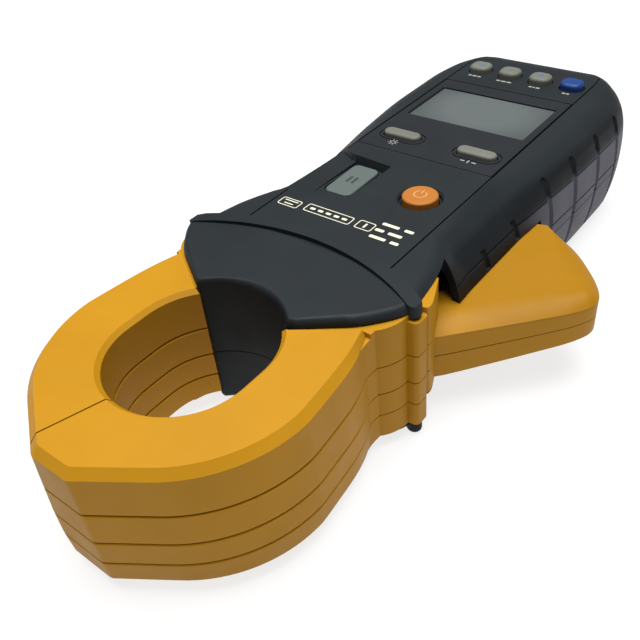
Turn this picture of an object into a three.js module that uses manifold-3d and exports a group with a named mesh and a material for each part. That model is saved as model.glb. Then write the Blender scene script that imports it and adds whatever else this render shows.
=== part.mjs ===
// Clamp meter: a hand-held tester with a yellow two-core clamp, one jaw of which opens with a side lever.
// Millimetres. The meter lies on its back: X = 0 is its centre line, +Y points to the jaw tip, +Z out of
// the display. Inside the moved group Z = 0 is the top face of the jaws.
import * as THREE from 'three';
import { mergeVertices } from 'three/addons/utils/BufferGeometryUtils.js';
import Module from 'manifold-3d';

const wasm = await Module();
wasm.setup();

// ---- driving dimensions ----
const GAP = 0.3;                    // between pieces that touch
const FLOOR = -38.8;                // the plane that the back rests on
const TAIL_Y = -185.5;
const JAW_HEIGHT = 34.7;            // of the stack of four jaw shells
const SEAMS = [-12, -20.5, -27.5];  // where the four shells meet
const HOLE = { r: 17.8, yHigh: -3.7, yLow: -9.7, chamfer: 1.1 };
const RING = { r: 32.6, y: -5, tip: 30.7, tangent: 123, rootX: 28.4, rootY: -31 };
// height, growth of the sides and growth of the tip, down the outside of the closed ring
const RING_LEVELS = [[0, 0, 0], [-2, 1.8, 1.8], [-12, 2.4, 2], [-20, 2.8, 2.2], [-27.5, 2.8, 2.2],
  [1 - JAW_HEIGHT, 2.3, 1.8], [-JAW_HEIGHT, 1.5, 1]];
const SPLIT = { x: 5.5, y: 22.3, slope: 0.32 };   // the slanted face where the jaws meet
const PIVOT = { x: -23, y: -40.5, pin: 3, hub: 10.8 };
const RIB = { y: 17.2, r: 67.1, width: 3.8, low: -1.8, top: 3.5, halfX: 35.4, bodyX: 34.2 };
const PANEL = { z: 1.9, halfX: 22.7 };
const CASE_SPLIT = -21;             // height of the parting line of the case
const WALL = 2.2;
const SKIRT = -0.4;                 // underside of the nose plate over the hubs
const HUB_TOP = -0.7;
const FOOT_TOP = -35.2;             // upper face of the nose's bottom plate
const LENS = { yLow: -152.2, yHigh: -100.4, halfX: 22.2, thickness: 1.1 };
const WINDOW = { x: 19.8, yLow: -146.75, yHigh: -123.75 };
const LEVER = { top: SEAMS[0] - GAP / 2, bottom: -28, fillet: 2.6, rootY: -54.2, wall: 2.2, slotEnd: -107.4 };
// the lever thins towards its tip: by a share of its depth below the crease, from one reach to the other
const THINNING = { crease: -14.4, from: 19, to: 57, share: 0.3 };
const KEY_TRAVEL = 0.8;
const CELL = { r: 7.2, length: 50, x: 7.7, z: -29, y: -139.8 };

// ---- materials ----
function finish(color, roughness, metalness = 0) {
  return new THREE.MeshStandardMaterial({ color, roughness, metalness });
}


const YELLOW = finish(0xe2a21c, 0.5);
const CASE = finish(0x363c44, 0.6);
const ORANGE = finish(0xf08a22, 0.45);
const GREY_KEY = finish(0xb9b8a6, 0.5);
const PALE_KEY = finish(0xa9b8b6, 0.5);
const BLUE_KEY = finish(0x3d62c4, 0.45);
const LENS_PLASTIC = finish(0x2b3037, 0.25);
const LCD_GLASS = finish(0x8b9490, 0.2);
const WHITE_PLASTIC = finish(0xe6e6e0, 0.5);
const RUBBER = finish(0x24272b, 0.8);
const BOARD = finish(0x1d5a3a, 0.5);
const BLACK_PLASTIC = finish(0x17181a, 0.5);
const STEEL = finish(0xb9bcc0, 0.3, 1);
const CORE = finish(0x8a8d92, 0.45, 0.8);
const COPPER = finish(0xb46a35, 0.4, 0.8);
const CELL_SKIN = finish(0x3a3f49, 0.35, 0.3);

const meter = new THREE.Group();

// ---- helpers ----
function solid(geometry) {
  const bare = geometry.clone();
  bare.deleteAttribute('normal');
  bare.deleteAttribute('uv');
  const merged = mergeVertices(bare, 1e-4);
  const triVerts = Uint32Array.from(merged.index.array);
  const vertProperties = merged.attributes.position.array;
  return new wasm.Manifold(new wasm.Mesh({ numProp: 3, vertProperties, triVerts }));
}

function geometryOf(body) {
  const { vertProperties, triVerts } = body.getMesh();
  const geometry = new THREE.BufferGeometry();
  geometry.setAttribute('position', new THREE.BufferAttribute(Float32Array.from(vertProperties), 3));
  geometry.setIndex(new THREE.BufferAttribute(Uint32Array.from(triVerts), 1));
  geometry.computeVertexNormals();
  return geometry;
}

function add(name, body, material) {
  const mesh = new THREE.Mesh(geometryOf(body), material);
  mesh.name = name;
  meter.add(mesh);
}

const join = (first, ...rest) => rest.reduce((sum, body) => sum.add(body), first);
const cut = (first, ...rest) => rest.reduce((sum, body) => sum.subtract(body), first);
const mirrored = (points) => points.map(([x, y]) => [-x, y]).reverse();

// a closed outline without the double points that corner arcs can leave
function outline(points) {
  const apart = ([x, y], i) => {
    const [u, v] = points[(i + 1) % points.length];
    return Math.hypot(x - u, y - v) > 0.05;
  };
  return new THREE.Shape(points.filter(apart).map(([x, y]) => new THREE.Vector2(x, y)));
}

function prism(points, low, high) {
  const shape = outline(points);
  const geometry = new THREE.ExtrudeGeometry(shape, { depth: high - low, bevelEnabled: false });
  return solid(geometry.translate(0, 0, low));
}

// a prism whose two flat faces have rounded rims
function softPrism(points, low, high, rim, segments = 2) {
  const shape = outline(points);
  const geometry = new THREE.ExtrudeGeometry(shape, {
    depth: high - low - 2 * rim,
    bevelThickness: rim,
    bevelSize: rim,
    bevelOffset: -rim,
    bevelSegments: segments,
  });
  return solid(geometry.translate(0, 0, low + rim));
}

function box(x0, x1, y0, y1, z0, z1) {
  const geometry = new THREE.BoxGeometry(x1 - x0, y1 - y0, z1 - z0);
  return solid(geometry.translate((x0 + x1) / 2, (y0 + y1) / 2, (z0 + z1) / 2));
}

const slab = (low, high) => box(-90, 90, -220, 60, low, high);

function post(x, y, r, low, high, sides = 24) {
  const geometry = new THREE.CylinderGeometry(r, r, high - low, sides).rotateX(Math.PI / 2);
  return solid(geometry.translate(x, y, (low + high) / 2));
}

// a turned piece standing on Z: profile holds [radius, height] pairs from the axis to the axis
function turned(x, y, profile, sides = 20) {
  const points = profile.map(([r, z]) => new THREE.Vector2(r, z));
  return solid(new THREE.LatheGeometry(points, sides).rotateX(Math.PI / 2).translate(x, y, 0));
}

// a closed skin over rings of equal point counts, capped by a fan at each end
function loft(rings) {
  const count = rings[0].length;
  const vertices = rings.flat();
  const faces = [];
  for (let r = 0; r + 1 < rings.length; r += 1) {
    for (let i = 0; i < count; i += 1) {
      const j = (i + 1) % count;
      const a = r * count;
      const b = a + count;
      faces.push(a + i, a + j, b + j, a + i, b + j, b + i);
    }
  }
  for (const [ring, turn] of [[0, 1], [rings.length - 1, -1]]) {
    const hub = vertices.length;
    const sum = rings[ring].reduce((p, q) => [p[0] + q[0], p[1] + q[1], p[2] + q[2]]);
    vertices.push(sum.map((value) => value / count));
    for (let i = 0; i < count; i += 1) {
      const pair = [ring * count + i, ring * count + ((i + 1) % count)];
      faces.push(hub, ...(turn > 0 ? pair.reverse() : pair));
    }
  }
  const geometry = new THREE.BufferGeometry();
  geometry.setAttribute('position', new THREE.Float32BufferAttribute(vertices.flat(), 3));
  geometry.setIndex(faces);
  const body = solid(geometry);
  if (body.volume() > 0) return body;
  geometry.setIndex(faces.reverse());
  return solid(geometry);
}

function arcPoints(x, y, r, from, to, steps) {
  return Array.from({ length: steps + 1 }, (_, i) => {
    const angle = THREE.MathUtils.degToRad(from + ((to - from) * i) / steps);
    return [x + r * Math.cos(angle), y + r * Math.sin(angle)];
  });
}

const stadium = (r, steps = 16) => [
  ...arcPoints(0, HOLE.yHigh, r, 0, 180, steps), ...arcPoints(0, HOLE.yLow, r, 180, 360, steps)];

function roundedRectangle(x, y, width, height, r, steps = 3) {
  const [a, b] = [width / 2 - r, height / 2 - r];
  return [[a, b, 0], [-a, b, 90], [-a, -b, 180], [a, -b, 270]].flatMap(
    ([dx, dy, start]) => arcPoints(x + dx, y + dy, r, start, start + 90, steps));
}

// ---- jaws ----
// outer outline of the closed ring, grown by d: two sides, two tangents and a flat tip
function ringOutline(d, tipGrowth = d) {
  const r = RING.r + d;
  const side = arcPoints(0, RING.y, r, 180, RING.tangent, 9);
  const angle = THREE.MathUtils.degToRad(RING.tangent);
  const tip = RING.tip + tipGrowth;
  const [tx, ty] = side[side.length - 1];
  const corner = [tx + ((tip - ty) * Math.sin(angle)) / -Math.cos(angle), tip];
  const half = [[-(RING.rootX + 0.5 * d), RING.rootY], [-(RING.rootX + 2.4 + d), -22], ...side, corner];
  return [...half, ...mirrored(half)];
}

const atHeight = (points, z) => points.map(([x, y]) => [x, y, z]);

function ringSolid() {
  const outside = loft(RING_LEVELS.map(([z, d, tip]) => atHeight(ringOutline(d, tip), z)));
  const mouth = HOLE.r + HOLE.chamfer;
  const levels = [[0.2, mouth + 0.2], [-HOLE.chamfer, HOLE.r], [HOLE.chamfer - JAW_HEIGHT, HOLE.r],
    [-JAW_HEIGHT - 0.2, mouth + 0.2]];
  return outside.subtract(loft(levels.map(([z, r]) => atHeight(stadium(r), z))));
}

// plan of everything on one side of the slanted split and in front of the nose, kept back by clear
function sidePlan(side, clear) {
  const splitX = (y) => SPLIT.x + (y - SPLIT.y) * SPLIT.slope + side * clear;
  return [[splitX(60), 60], [splitX(8), 8], [0, -5], [0, -20], [side * 14.7, -22.4 + clear],
    [side * 28.4, -31.2 + clear], [side * 60, -31.2 + clear], [side * 60, 60]];
}

const coreChannel = (side, clear, inner, outer, low, high) => {
  const ring = cut(prism(ringOutline(outer), low, high), prism(stadium(inner), low - 1, high + 1));
  return ring.intersect(prism(sidePlan(side, clear), low - 1, high + 1));
};

const forSide = (side, points) => points.map(([x, y]) => [-side * x, y]);

// the hub at the root of a jaw: a barrel about the pivot and a bridge to the ring; the moving one has a rib
function hubSolid(side, low = -JAW_HEIGHT, high = HUB_TOP) {
  const barrel = post(side * -PIVOT.x, PIVOT.y, PIVOT.hub, low, high, 40);
  const bridge = [[-17.5, -16], [-14.9, -23.5], [-14.7, -28], [-13.9, -36], [-30, -38], [-31.2, -33],
    [-31, -29.6], [-32, -18]];
  const rib = [[-32, -40.5], [-36, -40.7], [-36.5, -41.3], [-36.5, -44.6], [-35.8, -45.2], [-31, -47]];
  const hub = join(barrel, prism(forSide(side, bridge), low, high));
  return side < 0 ? join(hub, prism(rib, low, -2.1)) : hub;
}

// plan of the wing behind the rib, and of the lever that grows out of the hub
const WING = [[-31, -44], [-36.1, -45.6], [-36.2, -47.8], [-32.5, -56.2], [-31.4, -56.4], [-28, -50]];
const LEVER_PLAN = [[-27, -46], [-31, -47.4], [-36.3, -53], [-48.3, -66], [-58.4, -76.4], [-61.7, -80.6],
  [-62.4, -83], [-61.2, -85.6], [-57.6, -90.3], [-52.9, -95.4], [-47, -100.6], [-42.5, -104.2],
  [-39.6, -105.7], [-37.2, -106.4], [-33.2, -104.8], [-31.6, -92], [-29, -68], [-24, -56], [-20, -50]];
const LEVER_POCKET = [[-34, -58], [-47.8, -70.5], [-58, -81.5], [-56.5, -87.5], [-48.5, -95.8], [-40, -101.6],
  [-36.6, -101.6], [-33.8, -85], [-32.4, -68]];

function thinned(body) {
  const geometry = geometryOf(body);
  const position = geometry.attributes.position;
  for (let i = 0; i < position.count; i += 1) {
    const reach = Math.hypot(position.getX(i) - PIVOT.x, position.getY(i) - PIVOT.y);
    const progress = THREE.MathUtils.clamp((reach - THINNING.from) / (THINNING.to - THINNING.from), 0, 1);
    const depth = Math.min(0, position.getZ(i) - THINNING.crease);
    position.setZ(i, position.getZ(i) - depth * THINNING.share * progress);
  }
  return solid(geometry);
}

// the half of the lever between two heights, measured at the hub
function leverSolid(low, high) {
  const blade = softPrism(LEVER_PLAN, -34, LEVER.top, LEVER.fillet, 3);
  const pocket = prism(LEVER_POCKET, LEVER.bottom + 1.8, LEVER.top - LEVER.wall);
  const half = cut(blade, pocket).intersect(slab(Math.max(low, LEVER.bottom), high));
  const steps = [-64, -74, -84, -94].map((y) => box(-90, 0, y, y + 10, -60, 0));
  const free = thinned(steps.reduce((sum, step) => sum.add(half.intersect(step)), half));
  const root = prism(LEVER_PLAN, Math.max(low, LEVER.bottom), Math.min(high, LEVER.top));
  return join(free.intersect(box(-90, 0, -120, LEVER.rootY, -60, 0)),
    root.intersect(box(-90, 0, LEVER.rootY - 0.01, 0, -60, 0)));
}

const SHELLS = ['upper_cover', 'upper_tray', 'lower_tray', 'lower_cover'];

function addJaw(side, name) {
  const bore = post(side * -PIVOT.x, PIVOT.y, PIVOT.pin + GAP, -60, 10);
  const hub = side < 0 ? join(hubSolid(side), prism(WING, LEVER.bottom, HUB_TOP)) : hubSolid(side);
  const ring = ringSolid().intersect(prism(sidePlan(side, GAP / 2), -60, 10));
  const channels = [[SEAMS[1] + 1.8, -2], [2 - JAW_HEIGHT, SEAMS[1] - 1.8]].map(
    ([low, high]) => coreChannel(side, 1.6, HOLE.r + 1.7, -0.6, low, high));
  const whole = cut(join(ring, hub), bore, ...channels);
  const edges = [1, ...SEAMS, -60];
  SHELLS.forEach((shell, i) => {
    const [high, low] = [edges[i] - (i ? GAP / 2 : 0), edges[i + 1] + GAP / 2];
    let body = whole.intersect(slab(low, high));
    if (side < 0 && (i === 1 || i === 2)) {
      body = cut(join(body, leverSolid(low, i === 1 ? 0 : high)), bore);
    }
    if (side < 0 && i === 3) body = cut(body, ...springRoom());
    add(`${name}_${shell}`, body, YELLOW);
  });
  addCores(side, name);
}

// the lower cover of the moving jaw is hollowed below its hub, with a mouth for the leg of the spring
function springRoom() {
  const room = post(PIVOT.x, PIVOT.y, 7.8, -60, -30.2, 32);
  const mouth = prism([[-23, -40.5], [-5, -34], [-5, -58], [-19, -58]], -60, -30.2);
  return [room, mouth];
}

// each half ring holds two laminated cores, one above the other, with a winding on each
function addCores(side, name) {
  const levels = { upper: [SEAMS[1] + 2.6, -2.6], lower: [2.6 - JAW_HEIGHT, SEAMS[1] - 2.6] };
  for (const [place, [low, high]] of Object.entries(levels)) {
    const core = coreChannel(side, 2.2, HOLE.r + 4, -3, low + 1.8, high - 1.8);
    const around = coreChannel(side, 2.2, HOLE.r + 3.7, -2.7, low + 1.5, high - 1.5);
    const outer = coreChannel(side, 2.2, HOLE.r + 2.2, -1.2, low, high);
    const wedge = prism(forSide(side, [[0, 0], [-50, 22], [-50, -30]]), -60, 10);
    add(`${name}_${place}_core`, core, CORE);
    add(`${name}_${place}_winding`, cut(outer, around).intersect(wedge), COPPER);
  }
}

// ---- case ----
// right half of the case's cross-section at y, from the panel down to the back: shoulder points, then side
// each station: y, panel half width, shoulder [x, z] pairs, widest half width, drop of top, rise of back
const STATIONS = [
  [-47, 22.7, [[31, 1.8], [33.4, 0.2], [34.4, -3]], 35, 0, 0],
  [-56, 22.7, [[29.6, 1.5], [32, 0], [33.6, -3.6]], 35.4, 0, 0],
  [-65, 22.7, [[27, 1.2], [29.8, -1], [33, -6.4]], 35.2, 0, 0],
  [-71, 22.7, [[25.4, 0.6], [28.2, -3], [32.8, -7.2]], 35, 0, 0],
  [-95, 22.7, [[24.4, 0.5], [28, -3], [32.8, -7.2]], 35, 0, 0],
  [-102, 22.7, [[25, 0.6], [29.2, -2.8], [33.2, -7]], 35.4, 0, 0],
  [-118, 22.7, [[26.8, 0.7], [31.4, -2.4], [34.2, -6.7]], 36, 0, 0],
  [-140, 22.7, [[28.2, 0.8], [32.8, -2], [35.2, -6.5]], 36.5, 0, 0],
  [-158, 22.7, [[28.4, 0.8], [32.8, -2], [35.2, -6.5]], 36.5, 0, 0],
  [-168, 22.7, [[27.4, 0.8], [31.4, -2], [33.8, -6.5]], 35, 0, 0.2],
  [-175, 21.8, [[25, 0.5], [28.4, -2.4], [30.6, -6.5]], 31.6, 0.2, 0.3],
  [-180, 18.5, [[21, -0.4], [23.8, -3.4], [25.8, -7.4]], 26.6, 1.4, 1],
  [-183.6, 12, [[14.5, -2.8], [17.6, -5.6], [19.2, -9.2]], 20, 3.8, 3.6],
  [TAIL_Y, 4, [[7, -6.6], [9, -8.6], [10.4, -11.6]], 11, 7.4, 8],
];

const CASE_DEPTH = 41.4;

function section([y, panel, shoulder, side, drop, rise], inset = 0) {
  const bottom = FLOOR + rise;
  const half = [[panel, PANEL.z - drop], ...shoulder, [side, -15 - drop / 2], [side - 0.5, -27 + rise / 3],
    [side - 2.4, bottom + 3.6], [side - 6.4, bottom]];
  const middle = (PANEL.z + FLOOR) / 2;
  const [scaleX, scaleZ] = [1 - inset / side, 1 - (2 * inset) / CASE_DEPTH];
  const inner = half.map(([x, z]) => [x * scaleX, middle + (z - middle) * scaleZ]);
  const ring = [...inner, ...mirrored(inner)];
  return ring.map(([x, z]) => [x, y, z]);
}

function bodySolid() {
  return loft(STATIONS.map((station) => section(station)));
}

function cavitySolid() {
  const rows = STATIONS.slice(0, -1).map((station) => [...station]);
  rows[0][0] -= WALL + 0.2;
  rows[rows.length - 1][0] += 0.6;
  return loft(rows.map((station) => section(station, WALL)));
}

// plan of the nose, from the jaw window back to the neck
const NOSE_FRONT = [[15.6, -23.7], [27, -31.7], [30.6, -34.9], [33, -38.8]];
const PLATE_REAR = [[34.3, -43], [34, -45.4], [20, -50.2], [0, -53]];
const CHEEK = 1.6;                  // how much wider the nose is over the fixed jaw
const FOOT_REAR = [[33.6, -42.5], [30, -47], [26, -56], [22, -60]];

function nosePlan(rear) {
  const mouth = arcPoints(0, HOLE.yLow, HOLE.r + 1.2, 227, 313, 12);
  const half = [...NOSE_FRONT, ...rear];
  const wide = half.map(([x, y]) => [x > 32.5 ? x + CHEEK : x, y]);
  return [...mouth, ...wide, ...mirrored(half.filter(([x]) => x > 0))];
}

function noseWall() {
  const outer = arcPoints(0, HOLE.yLow, HOLE.r + 3.6, 232, 308, 10);
  const inner = arcPoints(0, HOLE.yLow, HOLE.r + 1.2, 316, 224, 10);
  return prism([...outer, ...inner], FOOT_TOP - 0.5, SKIRT + 0.5);
}

function ribSolid(low, high) {
  const reach = THREE.MathUtils.radToDeg(Math.asin(RIB.halfX / (RIB.r + RIB.width / 2)));
  const outer = arcPoints(0, RIB.y, RIB.r + RIB.width, 270 - reach, 270 + reach, 20);
  const inner = arcPoints(0, RIB.y, RIB.r, 270 + reach + 0.6, 270 - reach - 0.6, 20);
  return softPrism([...outer, ...inner], low, high, 0.7);
}

// everything below the arched top of the rib, which falls away at both ends
function ribRoof() {
  const crown = [[-60, -30], [-37.5, -6], [-36.9, -1], [-36.2, 1], [-35.2, 1.9], [-33, 2.5], [-28, 3.1],
    [-20, 3.5], [-10, 3.6]];
  const ring = [...crown, ...mirrored(crown)];
  return loft([-30, -70].map((y) => ring.map(([x, z]) => [x, y, z])));
}

// what the moving jaw, its hub and its lever sweep inside the case
function sweepRoom() {
  const chamber = [[-11.7, -27], [-45, -27], [-45, -62.4], [-29.6, -63.6], [-26, -62], [-11.7, -54]];
  const slot = box(-45, -20, LEVER.slotEnd, -60, LEVER.bottom - 0.8, LEVER.top + GAP);
  const openFoot = [[-60, -42.5], [-33.6, -42.5], [-30, -47], [-26, -56], [-27, -60], [-29.6, -63.6],
    [-60, -62.4]];
  return join(prism(chamber, FOOT_TOP, SKIRT), slot, prism(openFoot, -60, FOOT_TOP + 0.1));
}

function fixedHubRoom() {
  return prism([[11.7, -27], [11.7, -52], [24, -52], [34, -47.4], [45, -47.4], [45, -27]], FOOT_TOP, SKIRT);
}

function caseSolid() {
  const plate = softPrism(nosePlan(PLATE_REAR), SKIRT - 4, 2.1, 1).intersect(slab(SKIRT, 5));
  const foot = softPrism(nosePlan(FOOT_REAR), -37.6, FOOT_TOP + 4, 1).intersect(slab(-60, FOOT_TOP));
  const body = cut(bodySolid(), cavitySolid(), sweepRoom(), fixedHubRoom());
  const pins = [-1, 1].map((side) => post(side * -PIVOT.x, PIVOT.y, PIVOT.pin + GAP, -36.7, 0.8));
  const ends = cut(ribSolid(RIB.low, 1), box(-RIB.bodyX, RIB.bodyX, -60, -30, -5, 5));
  const bow = join(ribSolid(RIB.low, RIB.top).intersect(slab(SKIRT, 5)), ends).intersect(ribRoof());
  return cut(join(body, noseWall(), plate, foot, bow, ribSolid(FLOOR, FOOT_TOP + 0.3)), ...pins);
}

// every key: its name, the middle, width, height and corner radius of its plan, and its top
const ROW = { y: -164, width: 7.2, height: 6.4, r: 2.6, top: 4.15 };
const PILL = { y: -109.3, width: 12.2, height: 4.2, r: 2.09, top: 3.3 };
const KEYS = [
  { name: 'power_key', x: -11.6, y: -81.3, width: 9.8, height: 9.8, r: 4.89, top: 3.1, material: ORANGE },
  { name: 'hold_key', x: 11.7, y: -82.5, width: 8.6, height: 16, r: 2, top: 0.7, material: PALE_KEY },
  { name: 'backlight_key', x: 12.2, ...PILL, material: GREY_KEY },
  { name: 'mode_key', x: -12.9, ...PILL, material: GREY_KEY },
  { name: 'memory_key', x: 15.6, ...ROW, material: GREY_KEY },
  { name: 'filter_key', x: 4.7, ...ROW, material: GREY_KEY },
  { name: 'sound_key', x: -6.2, ...ROW, material: GREY_KEY },
  { name: 'shift_key', x: -17.1, ...ROW, material: BLUE_KEY },
];
const CRATER = { r: 5.8, z: 0.4 };  // round the power key
// the recess round the hold key, outwards from the centre line: x, y of its tail wall, y where it runs out
const HOLD_RECESS = [[4.6, -91.8, -72.3], [17.1, -92.9, -69], [17.1, -92.9, -69], [25.5, -97.7, -66.8]];
const HOLD_DEPTHS = [-0.6, 0.25];
const HOLD_FLOOR = [2, 23, -96, -78, -1.2, 0.4];
const FLANGE = { grow: 0.9, high: -1.3, low: -2.1 };
const MAT = { high: -5, low: -6, bump: -2.1 - KEY_TRAVEL - GAP };
const PCB = { high: -6.3, low: -7.9, halfX: 21, front: -66, back: -176 };

const keyPlan = (key, grow) => roundedRectangle(key.x, key.y, key.width + 2 * grow, key.height + 2 * grow,
  key.r + grow, key.r > 4 ? 7 : 3);

function panelCuts() {
  const holes = KEYS.map((key) => prism(keyPlan(key, GAP), -4, 6));
  const lens = roundedRectangle(0, (LENS.yLow + LENS.yHigh) / 2, 2 * LENS.halfX + 2 * GAP,
    LENS.yHigh - LENS.yLow + 2 * GAP, 0.6, 1);
  const bed = prism(lens, PANEL.z - LENS.thickness - GAP, 5);
  const window = box(-WINDOW.x - 1, WINDOW.x + 1, WINDOW.yLow - 1, WINDOW.yHigh + 1, -4, 4);
  const crater = post(KEYS[0].x, KEYS[0].y, CRATER.r, CRATER.z, 5, 28);
  const wedges = HOLD_DEPTHS.map((depth, i) => recessWedge(HOLD_RECESS.slice(2 * i, 2 * i + 2), depth));
  return [...holes, bed, window, crater, ...wedges];
}

// a cutter whose floor falls from the panel in front to depth at the tail wall
function recessWedge(places, depth) {
  const top = PANEL.z + 1;
  return loft(places.map(([x, tail, front]) => {
    const slope = (PANEL.z - depth) / (front - tail - 0.8);
    const ring = [[tail - 0.4, top], [tail, PANEL.z], [tail + 0.8, depth], [front + 3, PANEL.z + 3 * slope],
      [front + 3, top + 3 * slope]];
    return ring.map(([y, z]) => [x, y, z]);
  }));
}

const SCREWS = [[24.5, -70], [25.5, -170], [-25.5, -170], [25.5, -112]];

// bosses that the case screws bite into, standing down from the front case
function bosses() {
  return SCREWS.map(([x, y]) => post(x, y, 3.2, CASE_SPLIT + GAP, -1, 16));
}

function addCase() {
  const whole = caseSolid();
  const front = join(whole.intersect(slab(CASE_SPLIT + GAP / 2, 20)), box(...HOLD_FLOOR), ...bosses());
  const bores = SCREWS.map(([x, y]) => post(x, y, 1.5, -40, -6, 12));
  add('front_case', cut(front, ...panelCuts(), ...bores), CASE);
  const sleeves = SCREWS.map(([x, y]) => post(x, y, 4, FLOOR + 1.5, CASE_SPLIT - GAP, 16));
  const wells = SCREWS.map(([x, y]) => post(x, y, 3, -60, -29, 16));
  const shanks = SCREWS.map(([x, y]) => post(x, y, 1.5, -60, 0, 12));
  const recess = prism(hatchPlan(GAP), -60, HATCH.z + GAP);
  const mouth = prism(hatchPlan(-HATCH.ledge), -60, -30);
  const ledge = prism(hatchPlan(2), -36.9, -35.2);
  const back = join(whole.intersect(slab(-60, CASE_SPLIT - GAP / 2)), ledge, ...sleeves);
  add('back_case', join(cut(back, ...wells, ...shanks, recess, mouth), coverBoss()), CASE);
  SCREWS.forEach(([x, y], i) => add(`case_screw_${i + 1}`, screw(x, y, -29.3, 14), STEEL));
}

// a cross-recess screw with its head down, its shank going up
function screw(x, y, head, length) {
  const profile = [[0, head - 1], [2.2, head - 1], [2.5, head - 0.7], [2.5, head + 0.2], [1.2, head + 0.3],
    [1.2, head + length - 1], [0.4, head + length], [0, head + length]];
  const shape = turned(x, y, profile, 16);
  const slots = [box(x - 1.5, x + 1.5, y - 0.3, y + 0.3, head - 3, head - 0.4),
    box(x - 0.3, x + 0.3, y - 1.5, y + 1.5, head - 3, head - 0.4)];
  return cut(shape, ...slots);
}

const HATCH = { y: -142.2, width: 42, height: 72.8, z: FLOOR + 1.8, ledge: 1.8, screwY: -175.2 };
const hatchPlan = (grow) => roundedRectangle(0, HATCH.y, HATCH.width + 2 * grow, HATCH.height + 2 * grow,
  3 + grow);

// the boss that the cover screw bites into, held by a web to the tail wall
function coverBoss() {
  const web = box(-1.2, 1.2, -183.4, HATCH.screwY, -34, -24);
  const boss = post(0, HATCH.screwY, 3.2, HATCH.z + GAP, -24, 16);
  return cut(join(boss, web), post(0, HATCH.screwY, 1.5, -60, -25, 12));
}

function addDisplay() {
  const height = LENS.yHigh - LENS.yLow;
  const plan = roundedRectangle(0, LENS.yLow + height / 2, 2 * LENS.halfX, height, 0.6, 1);
  const pills = KEYS.slice(2, 4).map((key) => prism(keyPlan(key, GAP), -4, 6));
  add('display_lens', cut(prism(plan, PANEL.z - LENS.thickness, PANEL.z), ...pills), LENS_PLASTIC);
  const y = (WINDOW.yLow + WINDOW.yHigh) / 2;
  add('lcd_glass', box(-22.5, 22.5, y - 14, y + 14, -3.2, -1.2), LCD_GLASS);
  add('lcd_backlight', box(-22.5, 22.5, y - 14, y + 14, -5.2, -3.5), WHITE_PLASTIC);
}

function addKeys() {
  for (const key of KEYS) {
    const cap = softPrism(keyPlan(key, 0), FLANGE.high - 0.4, key.top, 0.7);
    const flange = prism(keyPlan(key, FLANGE.grow), FLANGE.low, FLANGE.high);
    add(key.name, join(cap, flange), key.material);
  }
}

function addBoards() {
  const mat = roundedRectangle(0, (PCB.front + PCB.back) / 2, 2 * PCB.halfX - 1, PCB.front - PCB.back - 1, 3);
  const y = (WINDOW.yLow + WINDOW.yHigh) / 2;
  const bumps = KEYS.map((key) => post(key.x, key.y, 1.8, MAT.low, MAT.bump, 12));
  const opening = box(-23, 23, y - 14.4, y + 14.4, -9, 0);
  const strips = [box(-23, 23, y + 14, -60, -9, 0), box(-23, 23, -190, y - 14, -9, 0)];
  const sheet = prism(mat, MAT.low, MAT.high);
  const [front, back] = strips.map((strip) => cut(sheet, opening).intersect(strip));
  const inStrip = (strip) => bumps.filter((bump) => !bump.intersect(strip).isEmpty());
  add('front_key_mat', join(front, ...inStrip(strips[0])), RUBBER);
  add('rear_key_mat', join(back, ...inStrip(strips[1])), RUBBER);
  const plan = roundedRectangle(0, (PCB.front + PCB.back) / 2, 2 * PCB.halfX, PCB.front - PCB.back, 3);
  add('main_board', prism(plan, PCB.low, PCB.high), BOARD);
  const chip = roundedRectangle(6, -120, 14, 14, 0.5, 1);
  add('processor', softPrism(chip, PCB.low - 2.2, PCB.low - GAP, 0.3, 1), BLACK_PLASTIC);
  const drum = [[0, -13.2], [5.6, -13.2], [6, -12.8], [6, PCB.low - GAP], [0, PCB.low - GAP]];
  add('buzzer', turned(12, -90, drum), BLACK_PLASTIC);
}

// a dry cell lying along Y with its button end towards end
function cell(x, end) {
  const h = CELL.length / 2;
  const profile = [[0, -h], [6.8, -h], [CELL.r, 0.6 - h], [CELL.r, h - 2], [6.8, h - 1.5], [2.7, h - 1.5],
    [2.7, h], [0, h]].map(([r, z]) => new THREE.Vector2(r, z));
  const geometry = new THREE.LatheGeometry(profile, 20);
  if (end < 0) geometry.rotateX(Math.PI);
  return solid(geometry.translate(x, CELL.y, CELL.z));
}

function contactSpring(x, y, end) {
  const cone = [[0, 0], [4.2, 0], [2.4, 3.4], [0, 3.4]].map(([r, z]) => new THREE.Vector2(r, z));
  const spring = new THREE.LatheGeometry(cone, 14);
  if (end > 0) spring.rotateX(Math.PI);
  return solid(spring.translate(x, y, CELL.z));
}

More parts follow.
